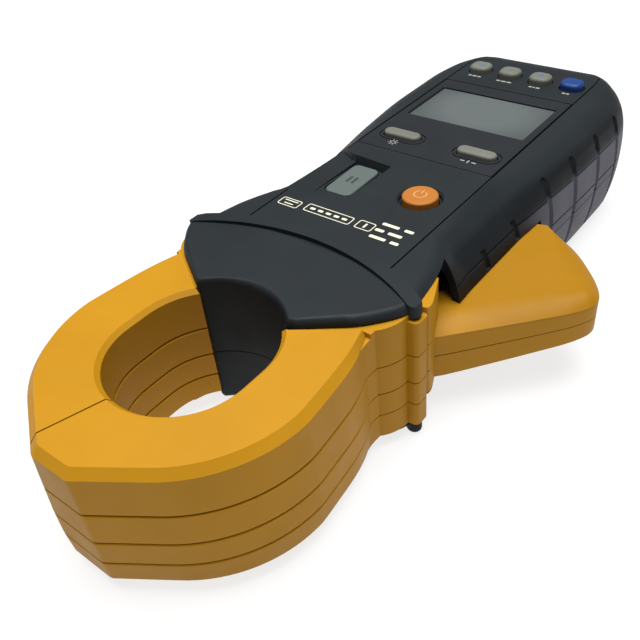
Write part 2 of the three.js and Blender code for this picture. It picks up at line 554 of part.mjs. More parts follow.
function addPower() {
  add('cell_1', cell(-CELL.x, 1), CELL_SKIN);
  add('cell_2', cell(CELL.x, -1), CELL_SKIN);
  const ends = [CELL.y - CELL.length / 2, CELL.y + CELL.length / 2];
  const holder = box(-17, 17, ends[0] - 6.6, ends[1] + 6.6, -36.6, -20);
  const bay = box(-15.6, 15.6, ends[0] - 5, ends[1] + 5, -40, -21.4);
  add('cell_holder', cut(holder, bay), BLACK_PLASTIC);
  const plate = (y0, y1) => box(-14.6, 14.6, y0, y1, -35, -24);
  const spring = contactSpring(-CELL.x, ends[0] - 4.1, -1);
  add('cell_link_plate', join(plate(ends[0] - 4.7, ends[0] - 4.1), spring), STEEL);
  add('positive_contact', box(-13.6, -1.8, ends[1] + 4.1, ends[1] + 4.7, -35, -24), STEEL);
  const other = contactSpring(CELL.x, ends[1] + 4.1, 1);
  add('negative_contact', join(box(1.8, 13.6, ends[1] + 4.1, ends[1] + 4.7, -35, -24), other), STEEL);
  const cover = prism(hatchPlan(0), FLOOR, HATCH.z).intersect(bodySolid());
  const hole = post(0, HATCH.screwY, 1.5, -60, 0, 12);
  const sink = post(0, HATCH.screwY, 2.8, -60, HATCH.z - 0.4, 16);
  add('cell_cover', cut(cover, hole, sink), CASE);
  add('cover_screw', screw(0, HATCH.screwY, HATCH.z - 0.7, 11), STEEL);
}

// ---- hinge ----
function addHinge() {
  const profile = [[0, -36.4], [2.6, -36.4], [PIVOT.pin, -36], [PIVOT.pin, 0.1], [2.6, 0.5], [0, 0.5]];
  const pin = (side) => turned(side * -PIVOT.x, PIVOT.y, profile, 24);
  add('hinge_pin', pin(-1), STEEL);
  add('fixed_jaw_pin', pin(1), STEEL);
  add('return_spring', springSolid(), STEEL);
}

// a torsion spring round the hinge pin: two and a half turns between two straight legs
function springSolid() {
  const r = 5.2;
  const turns = 2.5;
  const points = [new THREE.Vector3(PIVOT.x + 11, PIVOT.y - 5.5, -34.1)];
  const steps = 30;
  for (let i = 0; i <= steps; i += 1) {
    const angle = -Math.PI / 2 + (2 * Math.PI * turns * i) / steps;
    const height = -34.2 + (3.3 * i) / steps;
    points.push(new THREE.Vector3(PIVOT.x + r * Math.cos(angle), PIVOT.y + r * Math.sin(angle), height));
  }
  const path = new THREE.CatmullRomCurve3(points);
  const wire = new THREE.Shape(arcPoints(0, 0, 0.5, 0, 300, 5).map(([x, y]) => new THREE.Vector2(x, y)));
  return solid(new THREE.ExtrudeGeometry(wire, { steps: 64, extrudePath: path, bevelEnabled: false }));
}

addJaw(-1, 'moving_jaw');
addJaw(1, 'fixed_jaw');
addHinge();
addCase();
addDisplay();
addKeys();
addBoards();
addPower();

// the origin is under the middle of the part, on the plane it lies on
const bounds = new THREE.Box3().setFromObject(meter);
meter.position.set(-(bounds.min.x + bounds.max.x) / 2, -(bounds.min.y + bounds.max.y) / 2, -bounds.min.z);
const part = new THREE.Group();
part.add(meter);
export default part;
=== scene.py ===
"""Looks of a hand-held clamp meter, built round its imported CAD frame.

Shapes are drawn in millimetres in the meter's own drawing frame and then set into the row frame:
X = 0 is the centre line of the case, Z = 0 the top face of the jaws, +Y points to the jaw tip.
"""
import math

import bmesh
import bpy
from mathutils import Matrix, Vector


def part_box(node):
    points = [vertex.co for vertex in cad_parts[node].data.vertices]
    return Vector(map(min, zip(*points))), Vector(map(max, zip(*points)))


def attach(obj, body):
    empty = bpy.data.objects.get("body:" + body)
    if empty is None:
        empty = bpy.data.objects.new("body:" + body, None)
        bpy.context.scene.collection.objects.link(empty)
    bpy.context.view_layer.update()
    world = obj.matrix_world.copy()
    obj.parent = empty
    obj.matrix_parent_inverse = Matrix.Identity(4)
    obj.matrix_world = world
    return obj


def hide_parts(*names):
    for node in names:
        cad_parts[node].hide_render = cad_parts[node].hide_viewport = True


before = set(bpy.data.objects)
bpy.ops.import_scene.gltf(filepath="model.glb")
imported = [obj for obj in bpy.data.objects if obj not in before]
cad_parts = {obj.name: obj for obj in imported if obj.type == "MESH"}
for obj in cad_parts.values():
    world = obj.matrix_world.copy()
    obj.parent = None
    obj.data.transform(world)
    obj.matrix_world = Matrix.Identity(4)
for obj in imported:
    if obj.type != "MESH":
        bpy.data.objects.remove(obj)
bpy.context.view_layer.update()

# ---- driving dimensions, millimetres in the drawing frame ----
MM = 0.001
GAP = 0.3
FLOOR = -38.8
TAIL_Y = -185.5
JAW_HEIGHT = 34.7
SEAMS = [-12, -20.5, -27.5]
HOLE = {"r": 17.8, "y_high": -3.7, "y_low": -9.7, "chamfer": 1.1}
RING = {"r": 32.6, "y": -5, "tip": 30.7, "tangent": 123, "root_x": 28.4, "root_y": -31}
# height of each level, how much wider than RING it is round the sides and at the tip
RING_LEVELS = [(0, 0, 0), (-2, 1.8, 1.8), (-12, 2.4, 2), (-20, 2.8, 2.2), (-27.5, 2.8, 2.2),
               (-33.7, 2.3, 1.8), (-JAW_HEIGHT, 1.5, 1)]
SPLIT = {"x": 5.5, "y": 22.3, "slope": 0.32}
PIVOT = {"x": -23, "y": -40.5, "pin": 3, "hub": 10.8}
RIB = {"y": 17.2, "r": 67.1, "width": 3.8, "top": 5.1, "half_x": 36}
PANEL_Z = 1.9
CASE_SPLIT = -21
WALL = 2.2
SKIRT = -0.4
HUB_TOP = -0.7
FOOT_TOP = -35.2
LENS = {"low": -152.2, "high": -100.4, "half_x": 22.2, "thickness": 1.1}
WINDOW = {"low": -146.75, "high": -123.75, "half_x": 19.8}
LEVER = {"top": SEAMS[0] - GAP / 2, "bottom": -28, "crown_r": 12.2, "crown_angle": 35, "thin_from": 19,
         "crease": -14.4, "thin_to": 57, "thinning": 0.3}
HATCH = {"y": -142.2, "width": 42, "height": 72.8, "z": -37, "screw_y": -175.2}
SCREWS = [(24.5, -70), (25.5, -170), (-25.5, -170), (25.5, -112)]
SCREW = {"shank": 1.5, "boss": 3.2, "sleeve": 4, "head": 3}
CREASE = 32  # degrees: a sharper fold is shaded as an edge
BEYOND = 60  # how far cutters reach, past the ring and the case

lens_low, lens_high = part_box("display_lens")
ORIGIN = Vector(((lens_low.x + lens_high.x) / 2, lens_high.y - LENS["high"] * MM,
                 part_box("moving_jaw_upper_cover")[1].z))
PLACEMENT = Matrix.Translation(ORIGIN) @ Matrix.Scale(MM, 4)

collection = bpy.context.scene.collection


# ---- solids ----
def solid(vertices, faces):
    mesh = bpy.data.meshes.new("solid")
    mesh.from_pydata(vertices, [], faces)
    shape = bmesh.new()
    shape.from_mesh(mesh)
    bmesh.ops.remove_doubles(shape, verts=shape.verts, dist=1e-4)
    bmesh.ops.recalc_face_normals(shape, faces=shape.faces)
    shape.to_mesh(mesh)
    shape.free()
    body = bpy.data.objects.new("solid", mesh)
    collection.objects.link(body)
    return body


def combine(body, others, operation):
    for other in others:
        modifier = body.modifiers.new("combine", "BOOLEAN")
        modifier.operation = operation
        modifier.solver = "MANIFOLD"
        modifier.object = other
    bpy.context.view_layer.update()
    evaluated = body.evaluated_get(bpy.context.evaluated_depsgraph_get())
    mesh = bpy.data.meshes.new_from_object(evaluated)
    body.modifiers.clear()
    body.data = mesh
    for other in others:
        bpy.data.objects.remove(other)
    return body


def join(body, *others):
    return combine(body, others, "UNION")


def cut(body, *others):
    return combine(body, others, "DIFFERENCE")


def meet(body, *others):
    return combine(body, others, "INTERSECT")


def twin(body):
    other = bpy.data.objects.new("solid", body.data.copy())
    collection.objects.link(other)
    return other


def loft(rings):
    """A closed skin over rings of equal point counts, capped at each end."""
    count = len(rings[0])
    vertices = [point for ring in rings for point in ring]
    faces = []
    for r in range(len(rings) - 1):
        for i in range(count):
            j = (i + 1) % count
            faces.append((r * count + i, r * count + j, (r + 1) * count + j, (r + 1) * count + i))
    faces.append(tuple(range(count))[::-1])
    faces.append(tuple(range((len(rings) - 1) * count, len(rings) * count)))
    return solid(vertices, faces)


def at_height(points, z):
    return [(x, y, z) for x, y in points]


def anticlockwise(points):
    area = sum(a[0] * b[1] - b[0] * a[1] for a, b in zip(points, points[1:] + points[:1]))
    return list(points) if area > 0 else list(points)[::-1]


def grown(points, distance, share=None):
    """The outline moved outwards, or inwards below 0; share(x, y) says which part of it a point moves."""
    ring = [Vector(p) for p in anticlockwise(points)]
    moved = []
    for i, here in enumerate(ring):
        before = here - ring[i - 1]
        after = ring[(i + 1) % len(ring)] - here
        mitre = Vector((before.y, -before.x)).normalized() + Vector((after.y, -after.x)).normalized()
        part = 1 if share is None else share(here.x, here.y)
        moved.append(here + mitre * (2 * distance * part / max(mitre.length_squared, 0.8)))
    return [(p.x, p.y) for p in moved]


def prism(points, low, high):
    ring = anticlockwise(points)
    return loft([at_height(ring, low), at_height(ring, high)])


def soft_prism(points, low, high, rim, rise=None, steps=4, both=True, share=None):
    """A prism whose top rim, and bottom rim if both, is rounded: rim inwards by rise upwards."""
    rise = rim if rise is None else rise
    turns = [math.pi / 2 * i / steps for i in range(steps + 1)]

    def rounding(turn, start, way):
        inset = rim * (1 - math.sin(turn))
        return at_height(grown(points, -inset, share), start + way * rise * (1 - math.cos(turn)))

    rings = [rounding(turn, low, 1) for turn in turns] if both else [at_height(anticlockwise(points), low)]
    return loft(rings + [rounding(turn, high, -1) for turn in turns[::-1]])


def prism_along_y(points, y0, y1):
    """A prism along Y of an outline of (x, z) points."""
    ring = anticlockwise(points)
    return loft([[(x, y, z) for x, z in ring] for y in (y0, y1)])


def box(x0, x1, y0, y1, z0, z1):
    return prism([(x0, y0), (x1, y0), (x1, y1), (x0, y1)], z0, z1)


def slab(low, high):
    return box(-90, 90, -220, 60, low, high)


def arc(x, y, r, start, end, steps):
    angles = [math.radians(start + (end - start) * i / steps) for i in range(steps + 1)]
    return [(x + r * math.cos(a), y + r * math.sin(a)) for a in angles]


def circle(x, y, r, sides=48):
    return arc(x, y, r, 0, 360, sides)[:-1]


def post(x, y, r, low, high, sides=48):
    return prism(circle(x, y, r, sides), low, high)


def rounded(corners, steps=6):
    """Corners are (x, y, reach): the rounding of a corner starts that far from it."""
    points = []
    for i, (x, y, reach) in enumerate(corners):
        here = Vector((x, y))
        back = Vector(corners[i - 1][:2]) - here
        on = Vector(corners[(i + 1) % len(corners)][:2]) - here
        if not reach:
            points.append((x, y))
            continue
        start = here + back.normalized() * min(reach, back.length * 0.49)
        end = here + on.normalized() * min(reach, on.length * 0.49)
        for k in range(steps + 1):
            t = k / steps
            p = start * (1 - t) ** 2 + here * (2 * t * (1 - t)) + end * t * t
            points.append((p.x, p.y))
    return points


def rounded_rectangle(x, y, width, height, r, steps=6):
    a, b = width / 2 - r, height / 2 - r
    corners = [(a, b, 0), (-a, b, 90), (-a, -b, 180), (a, -b, 270)]
    return [p for dx, dy, start in corners for p in arc(x + dx, y + dy, r, start, start + 90, steps)]


def mirrored(points):
    return [(-x, y) for x, y in points][::-1]


def stadium(r):
    return arc(0, HOLE["y_high"], r, 0, 180, 40) + arc(0, HOLE["y_low"], r, 180, 360, 40)


def smooth_value(keys, values, at):
    """Monotone cubic interpolation of values over falling keys."""
    if at >= keys[0]:
        return values[0]
    if at <= keys[-1]:
        return values[-1]
    i = next(k for k in range(len(keys) - 1) if keys[k + 1] <= at)
    slopes = [(values[k + 1] - values[k]) / (keys[k + 1] - keys[k]) for k in range(len(keys) - 1)]

    def tangent(k):
        if k in (0, len(keys) - 1):
            return slopes[0 if k == 0 else -1]
        a, b = slopes[k - 1], slopes[k]
        return 0 if a * b <= 0 else 2 * a * b / (a + b)

    h = keys[i + 1] - keys[i]
    t = (at - keys[i]) / h
    return (values[i] * (1 + 2 * t) * (1 - t) ** 2 + tangent(i) * h * t * (1 - t) ** 2
            + values[i + 1] * t * t * (3 - 2 * t) + tangent(i + 1) * h * t * t * (t - 1))


# ---- materials ----
def node_material(name):
    """A new material, its node tree and its shader."""
    material = bpy.data.materials.new(name)
    material.use_nodes = True
    return material, material.node_tree, material.node_tree.nodes["Principled BSDF"]


def placed(tree, kind):
    """A node of this kind that reads the piece's own coordinates."""
    node = tree.nodes.new(kind)
    place = tree.nodes.new("ShaderNodeTexCoord")
    tree.links.new(place.outputs["Object"], node.inputs["Vector"])
    return node


def noise_texture(tree, scale, detail=2.0):
    texture = placed(tree, "ShaderNodeTexNoise")
    texture.inputs["Scale"].default_value = scale
    texture.inputs["Detail"].default_value = detail
    return texture.outputs["Fac"]


def stretched(tree, value, span, low=0, high=1, interpolation="LINEAR"):
    """A value over span, given by its two ends, is spread from low to high."""
    spread = tree.nodes.new("ShaderNodeMapRange")
    spread.interpolation_type = interpolation
    for name, number in zip(("From Min", "From Max", "To Min", "To Max"), (*span, low, high)):
        spread.inputs[name].default_value = number
    tree.links.new(value, spread.inputs["Value"])
    return spread.outputs["Result"]


def remapped(tree, value, low, high):
    """The middle of a pattern's values, 0.3 to 0.7, spread from low to high."""
    return stretched(tree, value, (0.3, 0.7), low, high)


def ramp(tree, value, start, end):
    """0 at start, 1 at end, smooth between them."""
    return stretched(tree, value, (start, end), interpolation="SMOOTHSTEP")


def mixed(tree, factor, first, second):
    """A mix of two colours, each given as a colour or as a socket."""
    mix = tree.nodes.new("ShaderNodeMix")
    mix.data_type = "RGBA"
    tree.links.new(factor, mix.inputs["Factor"])
    for name, colour in (("A", first), ("B", second)):
        if isinstance(colour, bpy.types.NodeSocket):
            tree.links.new(colour, mix.inputs[name])
        else:
            mix.inputs[name].default_value = (*colour, 1)
    return mix.outputs["Result"]


def add_gloss(tree, shader, scale, detail, low, high):
    """Cloudy gloss, with a roughness between low and high."""
    gloss = remapped(tree, noise_texture(tree, scale, detail), low, high)
    tree.links.new(gloss, shader.inputs["Roughness"])


def add_bump(tree, shader, height, strength, depth):
    """Relief of a height socket, depth in millimetres."""
    bump = tree.nodes.new("ShaderNodeBump")
    bump.inputs["Strength"].default_value = strength
    bump.inputs["Distance"].default_value = depth * MM
    tree.links.new(height, bump.inputs["Height"])
    tree.links.new(bump.outputs["Normal"], shader.inputs["Normal"])


def plastic(name, colour, roughness, grain=2600, depth=0.012, variation=0.07, metallic=0.0, specular=0.5):
    """Moulded plastic: cloudy colour, uneven gloss and a fine spark-eroded grain."""
    material, tree, shader = node_material(name)
    cloud = remapped(tree, noise_texture(tree, 45, 4), 0, 1)
    dark = [c * (1 - variation) for c in colour]
    light = [min(1, c * (1 + variation)) for c in colour]
    tree.links.new(mixed(tree, cloud, dark, light), shader.inputs["Base Color"])
    spread = 0.06
    add_gloss(tree, shader, 160, 5, roughness - spread, roughness + spread)
    shader.inputs["Metallic"].default_value = metallic
    shader.inputs["Specular IOR Level"].default_value = specular
    add_bump(tree, shader, noise_texture(tree, grain, 3), 0.6, depth)
    return material


def banded_metal(name, colour, second, roughness, scale, direction):
    """Metal with fine parallel bands across direction: laminations, brushing or turns of wire."""
    material, tree, shader = node_material(name)
    wave = placed(tree, "ShaderNodeTexWave")
    wave.bands_direction = direction
    wave.inputs["Scale"].default_value = scale
    wave.inputs["Distortion"].default_value = 0.6
    tree.links.new(mixed(tree, wave.outputs["Fac"], colour, second), shader.inputs["Base Color"])
    add_gloss(tree, shader, 300, 4, roughness - 0.08, roughness + 0.1)
    shader.inputs["Metallic"].default_value = 1
    add_bump(tree, shader, wave.outputs["Fac"], 0.5, 0.03)
    return material


def arithmetic(tree, operation, first, second):
    """A sum, product or other function of a socket and of a socket or number."""
    node = tree.nodes.new("ShaderNodeMath")
    node.operation = operation
    tree.links.new(first, node.inputs[0])
    if isinstance(second, float):
        node.inputs[1].default_value = second
    else:
        tree.links.new(second, node.inputs[1])
    return node.outputs["Value"]


def spot(tree):
    """Where a point lies: distance from the middle, y and z, in metres of the row frame."""
    split = placed(tree, "ShaderNodeSeparateXYZ")
    middle = arithmetic(tree, "SUBTRACT", split.outputs["X"], ORIGIN.x)
    return arithmetic(tree, "ABSOLUTE", middle, 0.0), split.outputs["Y"], split.outputs["Z"]


def laid_over(tree, shares, first, second):
    """A cloudy mix of two colours covers the base colour where all shares are 1."""
    base = tree.nodes["Principled BSDF"].inputs["Base Color"]
    share = shares[0]
    for other in shares[1:]:
        share = arithmetic(tree, "MULTIPLY", share, other)
    cover = mixed(tree, noise_texture(tree, 60, 4), first, second)
    tree.links.new(mixed(tree, share, base.links[0].from_socket, cover), base)


def case_plastic():
    """Dark case plastic, painted shade down its sides, painted light as a lighter grey over both grips."""
    colour = (0.0135, 0.0170, 0.0195)
    material = plastic("grained_case", colour, 0.54, grain=2800, depth=0.025, variation=0.10, specular=0.14)
    tree = material.node_tree
    x, y, z = spot(tree)
    # painted shade: the sides of the case below the shoulder are made darker
    flank = ramp(tree, x, 25 * MM, 30 * MM)
    below = ramp(tree, z, ORIGIN.z - 1.2 * MM, ORIGIN.z - 4 * MM)
    laid_over(tree, [flank, below], (0.0062, 0.0078, 0.0092), (0.0072, 0.0090, 0.0106))
    # painted light: a lighter grey over the grips on the lower side walls, stronger towards the tail
    aside = ramp(tree, x, 31.5 * MM, 34 * MM)
    low = ramp(tree, z, ORIGIN.z - 7.4 * MM, ORIGIN.z - 9.6 * MM)
    behind = ramp(tree, y, ORIGIN.y - 92 * MM, ORIGIN.y - 118 * MM)
    laid_over(tree, [aside, low, behind], (0.072, 0.072, 0.092), (0.089, 0.089, 0.111))
    return material


def jaw_plastic():
    """The yellow of the jaws, with painted shade: the broad top of the lever is a little darker."""
    colour = (0.385, 0.182, 0.005)
    material = plastic("satin_yellow", colour, 0.50, grain=2200, depth=0.010, variation=0.05, specular=0.16)
    tree = material.node_tree
    _, y, z = spot(tree)
    # painted shade: the broad top of the lever is a little darker than the rest of the yellow
    behind = ramp(tree, y, ORIGIN.y - 50 * MM, ORIGIN.y - 66 * MM)
    above = ramp(tree, z, ORIGIN.z - 15.4 * MM, ORIGIN.z - 14 * MM)
    laid_over(tree, [behind, above], (0.285, 0.132, 0.003), (0.300, 0.139, 0.003))
    return material


def lcd_pane():
    """The glass over the display, with painted light and shade: paler in the middle than round its edge."""
    material, tree, shader = node_material("lcd_pane")
    middle = PLACEMENT @ Vector((0, (WINDOW["low"] + WINDOW["high"]) / 2 - 2, 1))
    mapping = placed(tree, "ShaderNodeMapping")
    painted_sheen_radius, flattening = 24 * MM, 1.2
    scale = (1 / painted_sheen_radius, flattening / painted_sheen_radius, 1 / painted_sheen_radius)
    mapping.inputs["Scale"].default_value = scale
    mapping.inputs["Location"].default_value = [-at * size for at, size in zip(middle, scale)]
    painted_sheen = tree.nodes.new("ShaderNodeTexGradient")
    painted_sheen.gradient_type = "SPHERICAL"
    tree.links.new(mapping.outputs["Vector"], painted_sheen.inputs["Vector"])
    share = ramp(tree, painted_sheen.outputs["Fac"], 0.0, 0.6)
    # painted shade round the edge of the pane and a painted sheen in its middle
    edge, centre = (0.060, 0.070, 0.070), (0.090, 0.104, 0.102)
    tree.links.new(mixed(tree, share, edge, centre), shader.inputs["Base Color"])
    add_gloss(tree, shader, 120, 3, 0.36, 0.40)
    shader.inputs["Specular IOR Level"].default_value = 0.3
    return material


def circuit_board():
    """Green solder mask with a faint pattern of tracks."""
    material, tree, shader = node_material("circuit_board")
    tracks = placed(tree, "ShaderNodeTexVoronoi")
    tracks.distance = "MANHATTAN"
    tracks.inputs["Scale"].default_value = 420
    pattern = remapped(tree, tracks.outputs["Distance"], 0, 1)
    tree.links.new(mixed(tree, pattern, (0.015, 0.11, 0.05), (0.03, 0.2, 0.09)), shader.inputs["Base Color"])
    add_gloss(tree, shader, 200, 2.0, 0.25, 0.45)
    return material


YELLOW = jaw_plastic()
CASE = case_plastic()
LENS_PRINT = plastic("lens_panel", (0.0155, 0.0175, 0.0205), 0.45, grain=3400, depth=0.006, specular=0.16)
LCD = lcd_pane()
ORANGE = plastic("orange_key", (0.36, 0.128, 0.020), 0.50, depth=0.008, specular=0.2)
ORANGE_MARK = plastic("orange_mark", (0.52, 0.27, 0.11), 0.5, depth=0.004)
GREY = plastic("grey_key", (0.128, 0.132, 0.110), 0.55, depth=0.012, specular=0.25)
PALE = plastic("pale_key", (0.086, 0.107, 0.099), 0.55, depth=0.012, specular=0.2)
BLUE = plastic("blue_key", (0.009, 0.038, 0.16), 0.50, depth=0.012, specular=0.25)
PRINT = plastic("pale_print", (0.62, 0.60, 0.45), 0.6, depth=0.004)
LABEL_PRINT = plastic("label_print", (0.25, 0.26, 0.23), 0.6, depth=0.004)
DARK_PRINT = plastic("dark_print", (0.025, 0.03, 0.03), 0.6, depth=0.004)
BLUE_PRINT = plastic("blue_print", (0.05, 0.12, 0.24), 0.6, depth=0.004)
RUBBER = plastic("mat_rubber", (0.018, 0.018, 0.02), 0.85, grain=900, depth=0.03)
WHITE = plastic("light_guide", (0.75, 0.75, 0.71), 0.45)
BLACK = plastic("moulded_black", (0.012, 0.012, 0.013), 0.5)
CELL = plastic("cell_sleeve", (0.035, 0.045, 0.065), 0.3, grain=600, depth=0.003, metallic=0.4)
STEEL = banded_metal("plated_steel", (0.62, 0.62, 0.63), (0.48, 0.48, 0.49), 0.28, 900, "Z")
CORE = banded_metal("laminated_core", (0.34, 0.34, 0.36), (0.22, 0.22, 0.23), 0.42, 520, "Z")
COPPER = banded_metal("wound_copper", (0.60, 0.25, 0.10), (0.35, 0.13, 0.05), 0.34, 700, "Y")
BOARD = circuit_board()


# ---- pieces ----
def piece(name, body, material, ride, replaces=()):
    """Sets a finished solid into the row frame and says what it is."""
    body.data.transform(PLACEMENT)
    body.name = name
    body.data.name = name
    body.data.materials.clear()
    body.data.materials.append(material)
    body.data.shade_smooth()
    body.data.set_sharp_from_angle(angle=math.radians(CREASE))
    normals = body.modifiers.new("normals", "WEIGHTED_NORMAL")
    normals.keep_sharp = True
    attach(body, ride)
    if replaces:
        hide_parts(*replaces)


# ---- jaws ----
def ring_outline(growth, tip_growth):
    """The outline of the closed ring: two sides, two tangents and a flat tip."""
    r = RING["r"] + growth
    side = arc(0, RING["y"], r, 180, RING["tangent"], 20)
    angle = math.radians(RING["tangent"])
    tip = RING["tip"] + tip_growth
    tx, ty = side[-1]
    corner = (tx - (tip - ty) * math.sin(angle) / math.cos(angle), tip)
    reach = 0.8
    start = (corner[0] - reach * math.sin(angle), corner[1] + reach * math.cos(angle))
    end = (corner[0] + reach, tip)
    blend = [tuple(a * (1 - t) ** 2 + b * 2 * t * (1 - t) + c * t * t for a, b, c in zip(start, corner, end))
             for t in (0, 0.25, 0.5, 0.75, 1)]
    root = [(-(RING["root_x"] + 0.5 * growth), RING["root_y"], 0),
            (-(RING["root_x"] + 2.4 + growth), -22, 7), (-r, RING["y"], 7), (*side[1], 0)]
    half = rounded(root, 8)[:-1] + side[1:] + blend
    return half + mirrored(half)


def ring_growth(z):
    for (z0, g0, t0), (z1, g1, t1) in zip(RING_LEVELS, RING_LEVELS[1:]):
        if z1 <= z <= z0:
            share = (z0 - z) / (z0 - z1)
            return g0 + (g1 - g0) * share, t0 + (t1 - t0) * share
    return RING_LEVELS[-1][1:]


def ring_solid():
    """The closed ring with its window. Where two shells meet, both edges are broken by a fine chamfer."""
    levels = [(z, 0) for z, _, _ in RING_LEVELS if z not in SEAMS] + [(-0.25, -0.02), (-1.75, -0.02)]
    chamfer = [(0.5, 0), (0.15, 1), (-0.15, 1), (-0.5, 0)]
    for seam in SEAMS:
        levels += [(seam + rise, -0.28 * dip) for rise, dip in chamfer]
    rings = []
    for z, dip in sorted(levels, reverse=True):
        growth, tip_growth = ring_growth(z)
        rings.append(at_height(ring_outline(growth + dip, tip_growth + dip), z))
    mouth = HOLE["r"] + HOLE["chamfer"]
    hole = [(0.3, mouth + 0.3), (-HOLE["chamfer"], HOLE["r"])]
    for seam in SEAMS:
        hole += [(seam + rise, HOLE["r"] + 0.25 * dip) for rise, dip in chamfer]
    hole += [(HOLE["chamfer"] - JAW_HEIGHT, HOLE["r"]), (-JAW_HEIGHT - 0.3, mouth + 0.3)]
    return cut(loft(rings), loft([at_height(stadium(r), z) for z, r in hole]))


def side_plan(side, clear):
    """Plan of everything on one side of the slanted split and in front of the nose."""
    def split_x(y):
        return SPLIT["x"] + (y - SPLIT["y"]) * SPLIT["slope"] + side * clear
    root_y = RING["root_y"] - 0.2 + clear
    return [(split_x(BEYOND), BEYOND), (split_x(8), 8), (0, -5), (0, -20), (side * 14.7, -22.4 + clear),
            (side * RING["root_x"], root_y), (side * BEYOND, root_y), (side * BEYOND, BEYOND)]


def core_channel(side, low, high):
    """The room for one core, with walls all round it."""
    window = prism(stadium(HOLE["r"] + 1.7), low - 1, high + 1)
    ring = cut(prism(ring_outline(-0.6, -0.6), low, high), window)
    return meet(ring, prism(side_plan(side, 1.6), low - 1, high + 1))


def for_side(side, corners):
    return [(-side * c[0], *c[1:]) for c in corners]


def bore(side, low, high):
    """A cutter for the hole of one jaw's pin."""
    return post(side * -PIVOT["x"], PIVOT["y"], PIVOT["pin"] + GAP, low, high)


# plans of the hub on the side of the moving jaw: x, y, reach of the rounding
HUB_BRIDGE = [(-17.5, -16, 0), (-14.9, -23.5, 0), (-14.7, -28, 1), (-13.9, -36, 0), (-30, -38, 0),
              (-30.6, -33, 1), (-30.4, -30, 1.5), (-32, -18, 0)]
HUB_RIB = [(-31, -40.2, 0), (-35.6, -40.5, 0.5), (-36.5, -41.2, 0.8), (-36.5, -44.8, 0.8),
           (-35.6, -45.4, 0.6), (-31, -47, 0)]
HUB_WING = [(-31, -44, 0), (-36.1, -45.6, 0.5), (-36.2, -47.4, 2), (-32.3, -56.4, 0.3),
            (-31.4, -56.6, 0.3), (-28, -50, 0)]
LEVER_PLAN = [(-27, -46, 0), (-31, -47.4, 0), (-36.2, -53, 0), (-48.3, -66, 4), (-58.6, -77.4, 4),
              (-62.2, -83.6, 5), (-58.6, -90.6, 6), (-48.6, -101.2, 6), (-41, -105.8, 3), (-37.4, -106.4, 1),
              (-33, -105, 1.5), (-31.4, -92, 6), (-29, -68, 6), (-24, -56, 3), (-20, -48, 0)]


def hub_solid(side):
    """The hub of one jaw; its bridge to the ring stays below the chamfer of the ring's rim."""
    low = -JAW_HEIGHT
    barrel = post(side * -PIVOT["x"], PIVOT["y"], PIVOT["hub"], low, HUB_TOP, 96)
    bridge = prism(rounded(for_side(side, HUB_BRIDGE)), low, HUB_TOP)
    inner, outer, rear, front = -RING["root_x"], -40, RING["root_y"] - 0.2, -10
    rim = prism(for_side(side, [(inner, rear), (outer, rear), (outer, front), (inner, front)]), -2, 5)
    bridge = cut(bridge, rim)
    if side > 0:
        return join(barrel, bridge)
    hub = join(barrel, bridge, prism(rounded(HUB_RIB), low, -2.1))
    return join(hub, prism(rounded(HUB_WING), LEVER["bottom"], HUB_TOP))


def thinned(body):
    """The lever thins towards its tip: the further from the hub, the less a point lies below its top."""
    shape = bmesh.new()
    shape.from_mesh(body.data)
    for y in range(-104, -50, 3):
        everything = shape.verts[:] + shape.edges[:] + shape.faces[:]
        bmesh.ops.bisect_plane(shape, geom=everything, plane_co=(0, y, 0), plane_no=(0, 1, 0))
    bmesh.ops.triangulate(shape, faces=shape.faces)
    for vertex in shape.verts:
        reach = math.hypot(vertex.co.x - PIVOT["x"], vertex.co.y - PIVOT["y"])
        share = (reach - LEVER["thin_from"]) / (LEVER["thin_to"] - LEVER["thin_from"])
        depth = min(0, vertex.co.z - LEVER["crease"])
        vertex.co.z += -depth * LEVER["thinning"] * min(1, max(0, share))
    shape.to_mesh(body.data)
    shape.free()
    return body


def crown_share(x, y):
    """Only the outer side of the lever has the crown; it fades out along the end that lies by the case."""
    full = 1 - 0.45 * max(0, 1 - math.hypot(x + 61, y + 83) / 12)
    if y > -86:
        return full if x < -33 else 0
    return min(full, max(0, (-37.2 - x) / 11))


def lever_solid(low, high):
    """The half of the lever between two heights, measured at the hub."""
    plan = rounded(LEVER_PLAN)
    rings = [at_height(anticlockwise(plan), LEVER["bottom"])]
    end = math.radians(LEVER["crown_angle"])
    for k in range(9):
        angle = end * (8 - k) / 8
        inset = LEVER["crown_r"] * (math.sin(end) - math.sin(angle))
        drop = LEVER["crown_r"] * (1 - math.cos(angle))
        rings.append(at_height(grown(plan, -inset, crown_share), LEVER["top"] - drop))
    blade = meet(loft(rings), slab(max(low, LEVER["bottom"]), high))
    return thinned(blade)


def spring_room():
    """The lower cover of the moving jaw is hollow below its hub, with a mouth for the leg of the spring."""
    top = -30.2
    room = post(PIVOT["x"], PIVOT["y"], 7.8, -BEYOND, top)
    mouth = [(PIVOT["x"], PIVOT["y"]), (-5, -34), (-5, -58), (-19, -58)]
    return join(room, prism(mouth, -BEYOND, top))


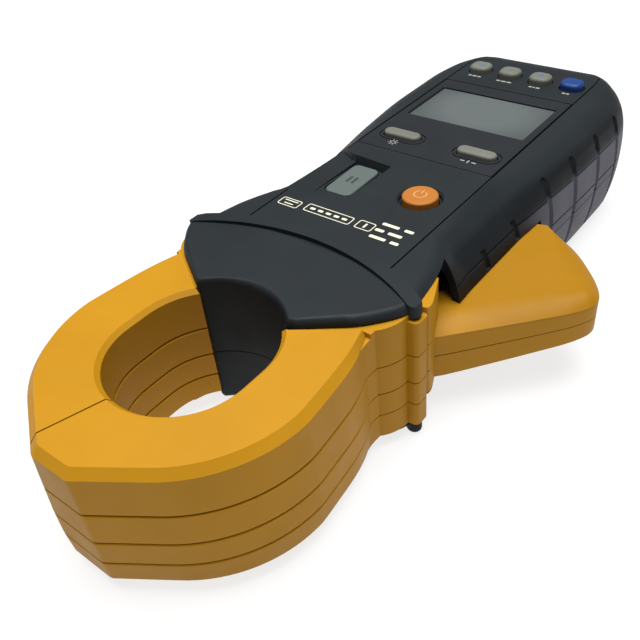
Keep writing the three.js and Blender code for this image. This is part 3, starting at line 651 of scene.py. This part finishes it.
def add_jaw(side, name, ride):
    """Four shells, cut from one ring and hub; the two middle ones of the moving jaw carry the lever."""
    ring = meet(ring_solid(), prism(side_plan(side, 0.2), -BEYOND, 10))
    channels = [core_channel(side, SEAMS[1] + 1.8, -2), core_channel(side, 2 - JAW_HEIGHT, SEAMS[1] - 1.8)]
    whole = cut(join(ring, hub_solid(side)), bore(side, -BEYOND, 10), *channels)
    edges = [1, *SEAMS, -BEYOND]
    for i, shell in enumerate(["upper_cover", "upper_tray", "lower_tray", "lower_cover"]):
        high, low = edges[i] - (GAP / 2 if i else 0), edges[i + 1] + GAP / 2
        body = meet(twin(whole), slab(low, high))
        if side < 0 and i in (1, 2):
            body = cut(join(body, lever_solid(low, high)), bore(side, -BEYOND, 10))
        if side < 0 and i == 3:
            body = cut(body, spring_room())
        node = f"{name}_{shell}"
        piece(f"{node}_moulding", body, YELLOW, ride, [node])
    bpy.data.objects.remove(whole)


# ---- case ----
# each station: y, half width of the panel, x and z of the shoulder three times, widest half width,
# drop of the top, rise of the back
STATIONS = [
    (-47, 22.7, 31, 1.8, 33.4, 0.2, 34.4, -3, 35, 0, 0),
    (-56, 22.7, 29.6, 1.5, 32, 0, 33.6, -3.6, 35.4, 0, 0),
    (-65, 22.7, 27, 1.2, 29.8, -1, 33, -6.4, 35.2, 0, 0),
    (-71, 22.7, 25.4, 0.6, 28.2, -3, 32.8, -7.2, 35, 0, 0),
    (-95, 22.7, 24.4, 0.5, 28, -3, 32.8, -7.2, 35, 0, 0),
    (-102, 22.7, 25, 0.6, 29.2, -2.8, 33.2, -7, 35.4, 0, 0),
    (-118, 22.7, 26.8, 0.7, 31.4, -2.4, 34.2, -6.7, 36, 0, 0),
    (-140, 22.7, 28.2, 0.8, 32.8, -2, 35.2, -6.5, 36.5, 0, 0),
    (-158, 22.7, 28.4, 0.8, 32.8, -2, 35.2, -6.5, 36.5, 0, 0),
    (-168, 22.7, 27.4, 0.8, 31.4, -2, 33.8, -6.5, 35, 0, 0.2),
    (-175, 21.8, 25, 0.5, 28.4, -2.4, 30.6, -6.5, 31.6, 0.2, 0.3),
    (-180, 18.5, 21, -0.4, 23.8, -3.4, 25.8, -7.4, 26.6, 1.4, 1),
    (-183.6, 12, 14.5, -2.8, 17.6, -5.6, 19.2, -9.2, 20, 3.8, 3.6),
    (TAIL_Y, 4, 7, -6.6, 9, -8.6, 10.4, -11.6, 11, 7.4, 8),
]
STATION_KEYS = [station[0] for station in STATIONS]


def station_at(y):
    return [smooth_value(STATION_KEYS, column, y) for column in list(zip(*STATIONS))[1:]]


def section(y, inset=0.0):
    """The closed outline of the case at y as (x, z) points."""
    panel, x1, z1, x2, z2, x3, z3, side, drop, rise = station_at(y)
    bottom = FLOOR + rise
    half = [(panel, PANEL_Z - drop, 0.6), (x1, z1, 1.8), (x2, z2, 2.6), (x3, z3, 3),
            (side, -15 - drop / 2, 7), (side - 0.5, -27 + rise / 3, 6), (side - 2.4, bottom + 3.6, 2.6),
            (side - 6.4, bottom, 2)]
    middle, depth = (PANEL_Z + FLOOR) / 2, 41.4
    scale_x, scale_z = 1 - inset / side, 1 - inset * 2 / depth
    corners = [(x * scale_x, middle + (z - middle) * scale_z, reach) for x, z, reach in half]
    corners += [(-x, z, reach) for x, z, reach in corners[::-1]]
    return rounded(corners, 5)


def station_rows(start, end):
    """Even rows along the case, and closer ones over the last stretch, where the tail rounds off."""
    even, close, stretch = 56, 12, 6
    rows = [start + (end + stretch - start) * i / even for i in range(even + 1)]
    return rows + [end + stretch * (1 - k / close) ** 1.6 for k in range(1, close + 1)]


def case_loft(inset, start, end):
    return loft([[(x, y, z) for x, z in section(y, inset)] for y in station_rows(start, end)])


def case_skin():
    outer = case_loft(0, STATIONS[0][0], TAIL_Y)
    inner = case_loft(WALL, -49.4, -183)
    return cut(outer, inner)


NOSE = {"mouth": 1.2, "wall": 3.6, "top": 2.1, "foot": -37.6, "rim": 1.7}
# half outlines of the nose plate and of its foot: x, y, reach of the rounding
NOSE_FRONT = [(14.1, -22.6, 1.9), (27, -31.7, 3), (33, -38.8, 5)]
PLATE_REAR = [(34.3, -43, 3), (34, -45.4, 1), (20, -50.2, 0), (0, -53, 0)]
FOOT_REAR = [(33.6, -42.5, 3), (30, -47, 3), (26, -56, 3), (22, -60, 0), (0, -60, 0)]
CHEEK = 1.3  # how much wider the nose is over the fixed jaw


def nose_plan(rear):
    mouth = arc(0, HOLE["y_low"], HOLE["r"] + NOSE["mouth"], 229, 311, 48)
    corners = [(12.47, -24.04, 0), *NOSE_FRONT, *rear]
    half = rounded(corners)[1:-1]
    wide = rounded([(x + CHEEK if x > 26 else x, y, reach) for x, y, reach in corners])[1:-1]
    return mouth + wide + mirrored(half)


def tip_share(_, y):
    """The rounding of the rim is finer at the two tips beside the mouth."""
    return min(1, max(0.5, (-24 - y) / 6))


def nose_layer(rear, low, high, rise):
    """A plate over or under the hubs, rounded at its rims."""
    return soft_prism(nose_plan(rear), low, high, NOSE["rim"], rise, 6, share=tip_share)


def nose_wall():
    outer = arc(0, HOLE["y_low"], HOLE["r"] + NOSE["wall"], 232, 308, 40)
    inner = arc(0, HOLE["y_low"], HOLE["r"] + NOSE["mouth"], 316, 224, 40)
    return prism(outer + inner, FOOT_TOP - 0.5, SKIRT + 0.5)


def rib_solid(low, high):
    """A bowed bar across the meter, with round ends."""
    half = RIB["width"] / 2
    middle = RIB["r"] + half
    reach = math.degrees(math.asin((RIB["half_x"] - half) / middle))

    def cap(end, start):
        angle = math.radians(end)
        x, y = middle * math.cos(angle), RIB["y"] + middle * math.sin(angle)
        return arc(x, y, half, start, start + 180, 12)

    first, last = 270 - reach, 270 + reach
    outer = arc(0, RIB["y"], RIB["r"] + RIB["width"], first, last, 60)[1:-1]
    inner = arc(0, RIB["y"], RIB["r"], last, first, 60)[1:-1]
    return soft_prism(outer + cap(last, last) + inner + cap(first, first + 180), low, high, 0.8)


def rib_roof():
    """Everything below the arched top of the rib, which falls away at both ends."""
    crown = [(-BEYOND, -30), (-37.5, -6), (-36.9, -1), (-36.2, 1.1), (-35.2, 2.0), (-33, 2.5), (-28, 2.85),
             (-20, 3.05), (-10, 3.15)]
    return prism_along_y(crown + mirrored(crown), -70, -30)


def sweep_room():
    """What the moving jaw, its hub and its lever sweep inside the case."""
    chamber = [(-11.7, -27), (-45, -27), (-45, -62.4), (-29.6, -63.6), (-26, -62), (-11.7, -54)]
    slot = box(-45, -20, -107.4, -60, LEVER["bottom"] - 0.8, LEVER["top"] + GAP)
    open_foot = [(-BEYOND, -42.5), (-33.6, -42.5), (-30, -47), (-26, -56), (-27, -60), (-29.6, -63.6),
                 (-BEYOND, -62.4)]
    return [prism(chamber, FOOT_TOP, SKIRT), slot, prism(open_foot, -BEYOND, FOOT_TOP + 0.1)]


def fixed_hub_room():
    plan = [(11.7, -27), (11.7, -52), (24, -52), (34, -47.4), (45, -47.4), (45, -27)]
    return prism(plan, FOOT_TOP, SKIRT)


# the keys: name, place, size, corner radius, top, how far and how deep the rim is rounded, material, slot
PILL = {"size": (12.2, 4.2), "r": 2.08, "top": 3.3, "rim": (0.9, 0.8), "look": GREY, "slot": "grey_plastic"}
ROW = {"size": (7.2, 6.4), "r": 2.6, "top": 4.1, "rim": (1.3, 1.1), "look": GREY, "slot": "grey_plastic"}
PILL_Y = -109.3
ROW_Y = -164
KEYS = {
    "power": {"at": (-11.6, -81.3), "size": (9.8, 9.8), "r": 4.88, "top": 3.0, "rim": (0.8, 0.6),
              "look": ORANGE, "slot": "orange_plastic"},
    "hold": {"at": (11.7, -82.5), "size": (8.6, 16), "r": 2, "top": 0.5, "rim": (0.5, 0.45),
             "look": PALE, "slot": "pale_plastic"},
    "backlight": {**PILL, "at": (12.2, PILL_Y)},
    "mode": {**PILL, "at": (-12.9, PILL_Y)},
    "memory": {**ROW, "at": (15.6, ROW_Y)},
    "filter": {**ROW, "at": (4.7, ROW_Y)},
    "sound": {**ROW, "at": (-6.2, ROW_Y)},
    "shift": {**ROW, "at": (-17.1, ROW_Y), "look": BLUE, "slot": "blue_plastic"},
}
HOLES_END = -4


def key_plan(key, growth):
    width, length = key["size"]
    return rounded_rectangle(*key["at"], width + 2 * growth, length + 2 * growth, key["r"] + growth, 10)


def lipped_hole(plan, low, high, lip):
    """A cutter for a hole with straight walls and a broken edge where it meets the surface at high."""
    levels = [(0, low), (0, high - lip), (lip + 1, high + 1)]
    return loft([at_height(grown(plan, growth), z) for growth, z in levels])


def key_holes():
    """A hole for each key, and a dish round the power key."""
    holes = [lipped_hole(key_plan(key, GAP), HOLES_END, PANEL_Z, 0.2) for key in KEYS.values()]
    holes.append(lipped_hole(circle(*KEYS["power"]["at"], 5.8, 64), 0.4, PANEL_Z, 0.55))
    return holes


# The recess round the hold key, from the centre line outwards: x, y of its tail wall, y of its front step
# and z of its floor at the tail wall. As far as HOLD_EDGE it is deeper. HOLD_FRONT is z at the front step.
HOLD_RECESS = [(4.6, -91.8, -72.3, -0.6), (19.3, -93.1, -68.6, 0.2), (25.5, -97.7, -66.8, -0.8),
               (34, -103, -64.4, -9.8)]
HOLD_EDGE = 17.1
HOLD_FRONT = 0.55


def recess_wedge(places):
    """A cutter whose floor falls from a low step in front to its depth at the tail wall."""
    above = PANEL_Z + 1
    return loft([[(x, tail - 0.4, above), (x, tail, PANEL_Z), (x, tail + 0.8, depth),
                  (x, front - 0.3, HOLD_FRONT), (x, front + 0.1, PANEL_Z), (x, front + 0.5, above)]
                 for x, tail, front, depth in places])


def hold_recess():
    """A deep wedge round the key, and a shallower one from it out over the edge of the panel."""
    first, second = HOLD_RECESS[:2]
    share = (HOLD_EDGE - first[0]) / (second[0] - first[0])
    tail, front = [first[i] + (second[i] - first[i]) * share for i in (1, 2)]
    deep = [first, (HOLD_EDGE, tail, front, first[3])]
    return [recess_wedge(deep), recess_wedge([(HOLD_EDGE, tail, front, second[3]), *HOLD_RECESS[1:]])]


def hold_floor():
    """The panel is thicker below the recess."""
    return box(2, 23, -96, -78, -1.2, 0.4)


def panel_groove(side):
    """The fine groove along one edge of the panel."""
    rings = []
    outline = [(-0.22, -0.55), (0.22, -0.55), (0.3, 1), (-0.3, 1)]
    for y in [-50.5 - 3.2 * i for i in range(40)]:
        panel, *_, drop, _ = station_at(y)
        x, z = side * (panel - 0.1), PANEL_Z - drop
        rings.append([(x + across, y, z + up) for across, up in outline])
    return loft(rings)


# y of the upright grooves in the grips, and y just behind the slot of the lever
GRIP_GROOVES = [-79, -95.2, -113.4, -128.6, -144.6, -159.4]
SLOT_TAIL = -108


def skin_x(y, z):
    """Half width of the case at y and height z, below its shoulder."""
    skin = [(x, h) for x, h in section(y) if x > 8]
    (xa, za), (xb, zb) = next(pair for pair in zip(skin, skin[1:]) if pair[0][1] >= z >= pair[1][1])
    return xa + (xb - xa) * (za - z) / max(za - zb, 1e-6)


def channel(side, path, depth):
    """A cutter with sloping walls along a path of (y, z, half width) points over the side of the case."""
    outline = [(-1.25, 0.25), (-1, 0), (-0.6, -0.8 * depth), (0, -depth), (0.6, -0.8 * depth), (1, 0),
               (1.25, 0.25), (1.25, 1.2), (-1.25, 1.2)]
    rings = []
    for i, (y, z, half) in enumerate(path):
        before, after = path[max(i - 1, 0)], path[min(i + 1, len(path) - 1)]
        along = Vector((after[0] - before[0], after[1] - before[1])).normalized()
        ring = []
        for reach, lift in outline:
            yy, zz = y - along.y * half * reach, z + along.x * half * reach
            ring.append((side * (skin_x(yy, zz) + lift), yy, zz))
        rings.append(ring)
    return loft(rings)


def upright(side, y, low, high, head):
    """An upright groove in the grip, with a wider drop-shaped head if head is set."""
    path = [(y, low + (high - low) * i / 14, 1.2) for i in range(15)]
    if head:
        path = path[:-2] + [(y - 0.1, high - 2.2, 1.3), (y - 0.3, high - 1, 1.6), (y - 0.5, high, 1.65),
                            (y - 0.6, high + 0.8, 1.2), (y - 0.6, high + 1.2, 0.5)]
    return channel(side, path, 0.95)


def level_line(side, start, end, high):
    """A fine level groove between two upright ones, a little lower towards the tail."""
    path = []
    for i in range(9):
        y = start + (end - start) * i / 8
        fall = (-65 - y) / 105
        path.append((y, high - fall * (1.2 if high > -12 else 1.8), 0.32))
    return channel(side, path, 0.6)


def grip_cuts(side):
    """Upright grooves and the level lines between them; the slot of the lever stops them on its side."""
    cuts = []
    for y in GRIP_GROOVES:
        low = LEVER["top"] + 0.6 if y > SLOT_TAIL and side < 0 else -34
        headed = y < -105
        cuts.append(upright(side, y, low, -4 if headed else -6.4, headed))
    starts = [-63.5, *[y - 1.1 for y in GRIP_GROOVES]]
    ends = [*[y + 1.1 for y in GRIP_GROOVES], -170]
    for start, end in zip(starts, ends):
        cuts.append(level_line(side, start, end, -8))
        if side > 0 or start < SLOT_TAIL:
            cuts.append(level_line(side, start, end, -16.4))
    return cuts


def case_halves():
    plate = meet(nose_layer(PLATE_REAR, SKIRT - 6, NOSE["top"], 1.9), slab(SKIRT, 5))
    foot = meet(nose_layer(FOOT_REAR, NOSE["foot"], FOOT_TOP + 6, 1.7), slab(-BEYOND, FOOT_TOP))
    skin = cut(case_skin(), *sweep_room(), fixed_hub_room())
    low_rib = meet(rib_solid(-1.8, RIB["top"]), slab(SKIRT, 6), rib_roof())
    end_ribs = meet(cut(rib_solid(-1.8, 1), box(-34.2, 34.2, -60, -30, -5, 5)), rib_roof())
    whole = join(skin, nose_wall(), plate, foot, low_rib, end_ribs, rib_solid(FLOOR, FOOT_TOP + 0.3))
    whole = cut(whole, bore(-1, -36.7, 0.8), bore(1, -36.7, 0.8), *grip_cuts(1), *grip_cuts(-1))
    front = meet(twin(whole), slab(CASE_SPLIT + GAP / 2, 20))
    back = meet(whole, slab(-BEYOND, CASE_SPLIT - GAP / 2))
    return front, back


def hatch_plan(growth):
    width, height = HATCH["width"] + 2 * growth, HATCH["height"] + 2 * growth
    return rounded_rectangle(0, HATCH["y"], width, height, 3 + growth)


def display_plan(place, r, growth=0.0):
    """The outline of the lens panel or of its window."""
    width, height = 2 * (place["half_x"] + growth), place["high"] - place["low"] + 2 * growth
    return rounded_rectangle(0, (place["low"] + place["high"]) / 2, width, height, r)


def screw_posts(part, low, high):
    return [post(x, y, SCREW[part], low, high) for x, y in SCREWS]


def hatch_screw(r, low, high):
    return post(0, HATCH["screw_y"], r, low, high)


def front_case(front):
    """The panel with its bed for the display, key holes and recess, and the bosses inside."""
    bed = prism(display_plan(LENS, 0.7, GAP), PANEL_Z - LENS["thickness"] - GAP, 5)
    window = box(-WINDOW["half_x"] - 1, WINDOW["half_x"] + 1, WINDOW["low"] - 1, WINDOW["high"] + 1, -4, 4)
    front = cut(join(front, hold_floor()), bed, window, *key_holes(), *hold_recess(), panel_groove(1),
                panel_groove(-1))
    front = join(front, *screw_posts("boss", CASE_SPLIT + GAP, -2.5))
    front = cut(front, *screw_posts("shank", -40, -6))
    piece("front_case_moulding", front, CASE, "case", ["front_case"])


def back_case(back):
    """The grip with its bay, the ledge of the cell cover, screw wells and the boss of the cover's screw."""
    ledge = prism(hatch_plan(2), -36.9, -35.2)
    back = join(back, ledge, *screw_posts("sleeve", FLOOR + 1.5, CASE_SPLIT - GAP))
    back = cut(back, *screw_posts("head", -BEYOND, -29), *screw_posts("shank", -BEYOND, 0),
               prism(hatch_plan(GAP), -BEYOND, HATCH["z"] + GAP), prism(hatch_plan(-1.8), -BEYOND, -30))
    web = box(-1.2, 1.2, -183.4, HATCH["screw_y"], -34, -24)
    boss = join(hatch_screw(SCREW["boss"], HATCH["z"] + GAP, -24), web)
    back = join(back, cut(boss, hatch_screw(SCREW["shank"], -BEYOND, -25)))
    piece("back_case_moulding", back, CASE, "case", ["back_case"])


def cell_cover():
    """The cell cover follows the back of the case and has finger ridges at its front end."""
    cover = meet(prism(hatch_plan(0), FLOOR - 1, HATCH["z"]), case_loft(0, STATIONS[0][0], TAIL_Y))
    plans = [rounded_rectangle(0, -112 - 2.4 * i, 16, 1.2, 0.55) for i in range(5)]
    ridges = [soft_prism(plan, FLOOR - 1, FLOOR + 0.5, 0.2, steps=2) for plan in plans]
    cover = cut(cover, *ridges, hatch_screw(SCREW["shank"], -BEYOND, 0), hatch_screw(2.8, -BEYOND, -37.4))
    piece("cell_cover_moulding", cover, CASE, "case", ["cell_cover"])


def add_case():
    front, back = case_halves()
    front_case(front)
    back_case(back)
    cell_cover()


# ---- display ----
def collar(key):
    """A cutter for the fine groove round a key."""
    return cut(prism(key_plan(key, 1.55), PANEL_Z - 0.45, 4), prism(key_plan(key, 1.15), -1, 5))


def add_display():
    low, high = PANEL_Z - LENS["thickness"], PANEL_Z + 0.02
    lens = soft_prism(display_plan(LENS, 0.6), low, high, 0.12, steps=2, both=False)
    keys = [KEYS["backlight"], KEYS["mode"]]
    holes = [lipped_hole(key_plan(key, GAP), HOLES_END, PANEL_Z, 0.15) for key in keys]
    collars = [collar(key) for key in keys]
    window = display_plan(WINDOW, 0.5)
    lens = cut(lens, *holes, *collars, lipped_hole(window, -1, PANEL_Z, 0.25))
    piece("display_panel", lens, LENS_PRINT, "case", ["display_lens"])
    pane = soft_prism(grown(window, -0.02), 0.2, PANEL_Z - 0.7, 0.1, steps=2, both=False)
    piece("display_pane", pane, LCD, "case", ["lcd_glass"])


# ---- keys ----
def ring_mark(x, y, r, width, start, end, low, high):
    outer, inner = arc(x, y, r + width / 2, start, end, 40), arc(x, y, r - width / 2, end, start, 40)
    return prism(outer + inner, low, high)


def bar(x, y, width, height, low, high):
    return prism(rounded_rectangle(x, y, width, height, min(width, height) * 0.3, 3), low, high)


def tilted_hold_key(body):
    """The front end of the hold key lies a little below the floor of its recess."""
    length = KEYS["hold"]["size"][1]
    tail = KEYS["hold"]["at"][1] - length / 2
    for vertex in body.data.vertices:
        if vertex.co.z > -1:
            vertex.co.z -= 0.3 * (vertex.co.y - tail) / length
    return body


def add_keys():
    for name, key in KEYS.items():
        rim, rise = key["rim"]
        cap = soft_prism(key_plan(key, 0), -1.7, key["top"], rim, rise, steps=8, both=False)
        if name == "hold":
            cap = tilted_hold_key(cap)
        cap = join(cap, prism(key_plan(key, 0.9), -2.1, -1.3))
        piece(f"{name}_key_cap", cap, key["look"], f"{name}_button", [f"{name}_key"])


def power_symbol(x, y, high):
    low, line = high - 0.3, 0.34
    return join(ring_mark(x, y, 1.7, line, -60, 240, low, high), bar(x, y - 1.4, line, 1.8, low, high))


def row_symbol(name, x, y, high):
    """A bar, a triangle and a cross."""
    low = high - 0.5
    if name == "filter":
        return prism([(x - 1, y - 0.7), (x + 1, y - 0.7), (x, y + 0.9)], low, high)
    mark = bar(x, y, 2.4, 0.6, low, high)
    return join(mark, bar(x, y, 0.6, 2.2, low, high)) if name == "sound" else mark


def add_symbols():
    """Raised marks on the keys: they ride on them."""
    power = KEYS["power"]
    symbol = power_symbol(*power["at"], power["top"] + 0.06)
    piece("power_symbol", symbol, ORANGE_MARK, "power_button")
    hold_marks = [bar(x, KEYS["hold"]["at"][1], 0.8, 3.2, -0.2, 0.42) for x in (10.8, 12.6)]
    piece("hold_symbol", join(*hold_marks), DARK_PRINT, "hold_button")
    for name in ("memory", "filter", "sound"):
        mark = row_symbol(name, *KEYS[name]["at"], ROW["top"] + 0.03)
        piece(f"{name}_symbol", mark, BLUE_PRINT, f"{name}_button")


# ---- printing: generic marks, no lettering ----
PRINT_LOW = PANEL_Z - 0.1
PRINT_HIGH = PANEL_Z + 0.03
MARK_Y = -104.6


def panel_print(name, shapes, material=PRINT):
    piece(name, shapes[0] if len(shapes) == 1 else join(*shapes), material, "case")


def frame_mark(x, y, width, height):
    line = 0.28
    outer = prism(rounded_rectangle(x, y, width, height, 0.7, 4), PRINT_LOW, PRINT_HIGH)
    inner = rounded_rectangle(x, y, width - 2 * line, height - 2 * line, 0.45, 4)
    return cut(outer, prism(inner, PRINT_LOW - 1, PRINT_HIGH + 1))


def bars(places, high=PRINT_HIGH):
    return [bar(*place, PRINT_LOW, high) for place in places]


def nose_prints():
    """Frames and bars where the rating is printed."""
    panel_print("window_mark", [frame_mark(17.4, -62, 6.6, 3.6),
                                *bars([(17.4, -62.8, 4.4, 0.4), (17.4, -61.4, 3, 0.4)])])
    dots = [(4.8 + step, -62.6, 1.6, 0.9) for step in (-5.2, -2.6, 0, 2.6, 5.2)]
    panel_print("rating_mark", [frame_mark(4.8, -62.6, 15, 3.6), *bars(dots)])
    panel_print("class_mark", [frame_mark(-6.8, -62.8, 5, 3.8), *bars([(-6.8, -62.8, 0.6, 2)])])
    words = [(-12.6, -59.8, 4.8), (-17.6, -59.8, 2.4), (-11.2, -62.9, 2.6), (-15.8, -62.9, 4),
             (-12.6, -66, 5), (-18, -66, 2.6)]
    panel_print("range_mark", bars([(*word, 1.1) for word in words]))


def lens_prints():
    """A sun before the backlight key, and three bars before the mode key."""
    x, high = 12.5, PRINT_HIGH + 0.03
    sun = [ring_mark(x, MARK_Y, 0.75, 0.25, 0, 359, PRINT_LOW, high)]
    outline = [(1.05, -0.12), (1.6, -0.08), (1.6, 0.08), (1.05, 0.12)]
    for i in range(8):
        turn = math.radians(45 * i + 22.5)
        ray = [(x + r * math.cos(turn + aside), MARK_Y + r * math.sin(turn + aside)) for r, aside in outline]
        sun.append(prism(ray, PRINT_LOW, high))
    panel_print("backlight_mark", sun, LABEL_PRINT)
    places = [(-10.9, MARK_Y, 1.4, 0.5), (-12.7, MARK_Y, 0.4, 1.6), (-14.5, MARK_Y, 1.4, 0.5)]
    panel_print("mode_mark", bars(places, high), LABEL_PRINT)


def row_prints():
    """A short row of bars before each key of the row."""
    labels = {"memory": (1.2, 1.6, 1.2), "filter": (1.4, 1.8, 1.6), "sound": (1.1, 0.7, 1.4),
              "shift": (1.2, 0.9)}
    for name, widths in labels.items():
        x, y = KEYS[name]["at"]
        at, places = x + sum(widths) / 2, []
        for width in widths:
            places.append((at - width / 2, y + 5.2, width, 0.85))
            at -= width + 0.3
        panel_print(f"{name}_mark", bars(places), LABEL_PRINT)


# ---- what is inside keeps its CAD shape ----
def add_inner_looks():
    steel = ["cell_link_plate", "positive_contact", "negative_contact", "hinge_pin", "fixed_jaw_pin",
             "return_spring", "cover_screw", *[f"case_screw_{i}" for i in range(1, 5)]]
    jaws = ["moving_jaw_upper", "moving_jaw_lower", "fixed_jaw_upper", "fixed_jaw_lower"]
    looks = [(WHITE, ["lcd_backlight"]), (RUBBER, ["front_key_mat", "rear_key_mat"]),
             (BOARD, ["main_board"]), (BLACK, ["processor", "buzzer", "cell_holder"]),
             (CELL, ["cell_1", "cell_2"]), (STEEL, steel), (CORE, [f"{jaw}_core" for jaw in jaws]),
             (COPPER, [f"{jaw}_winding" for jaw in jaws])]
    for material, names in looks:
        for name in names:
            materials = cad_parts[name].data.materials
            materials.clear()
            materials.append(material)


# ---- stage ----
def add_floor():
    size = 3.0
    mesh = bpy.data.meshes.new("floor")
    corners = [(-size, -size, 0), (size, -size, 0), (size, size, 0), (-size, size, 0)]
    mesh.from_pydata(corners, [], [(0, 1, 2, 3)])
    floor = bpy.data.objects.new("floor", mesh)
    collection.objects.link(floor)
    floor.location.z = -0.0002
    material, tree, shader = node_material("pale_floor")
    cloud = remapped(tree, noise_texture(tree, 3), 0, 1)
    tree.links.new(mixed(tree, cloud, [0.15] * 3, [0.17] * 3), shader.inputs["Base Color"])
    shader.inputs["Roughness"].default_value = 0.8
    shader.inputs["Emission Color"].default_value = (1, 1, 1, 1)
    shader.inputs["Emission Strength"].default_value = 0.79
    mesh.materials.append(material)


def add_light():
    """One broad lamp above the meter."""
    place, aim = Vector((0.0, -0.06, 1.4)), Vector((0, 0, 0.02))
    light = bpy.data.lights.new("key_light", "AREA")
    light.size = 1.2
    light.energy = 43
    lamp = bpy.data.objects.new("key_light", light)
    lamp.location = place
    lamp.rotation_euler = (aim - place).to_track_quat("-Z", "Y").to_euler()
    collection.objects.link(lamp)


def add_world():
    world = bpy.data.worlds.new("studio")
    world.use_nodes = True
    world.node_tree.nodes["Background"].inputs["Color"].default_value = (1, 1, 1, 1)
    world.node_tree.nodes["Background"].inputs["Strength"].default_value = 0.13
    bpy.context.scene.world = world
    bpy.context.scene.view_settings.view_transform = "Standard"


CAMERA = {"place": (-106.4, 69.8, 107.9), "aim": (-10.46, -37.74, -10), "roll": 6.12, "lens": 43.14}


def add_camera():
    camera = bpy.data.objects.new("camera", bpy.data.cameras.new("camera"))
    camera.data.lens = CAMERA["lens"]
    camera.data.sensor_width = 36
    camera.data.clip_start = 0.01
    place, aim = PLACEMENT @ Vector(CAMERA["place"]), PLACEMENT @ Vector(CAMERA["aim"])
    camera.rotation_mode = "QUATERNION"
    turn = Matrix.Rotation(math.radians(-CAMERA["roll"]), 4, "Z").to_quaternion()
    camera.rotation_quaternion = (aim - place).to_track_quat("-Z", "Y") @ turn
    camera.location = place
    collection.objects.link(camera)
    bpy.context.scene.camera = camera


add_camera()
add_world()
add_light()
add_floor()
add_jaw(-1, "moving_jaw", "moving_jaw")
add_jaw(1, "fixed_jaw", "case")
add_case()
add_display()
add_keys()
add_symbols()
nose_prints()
lens_prints()
row_prints()
add_inner_looks()
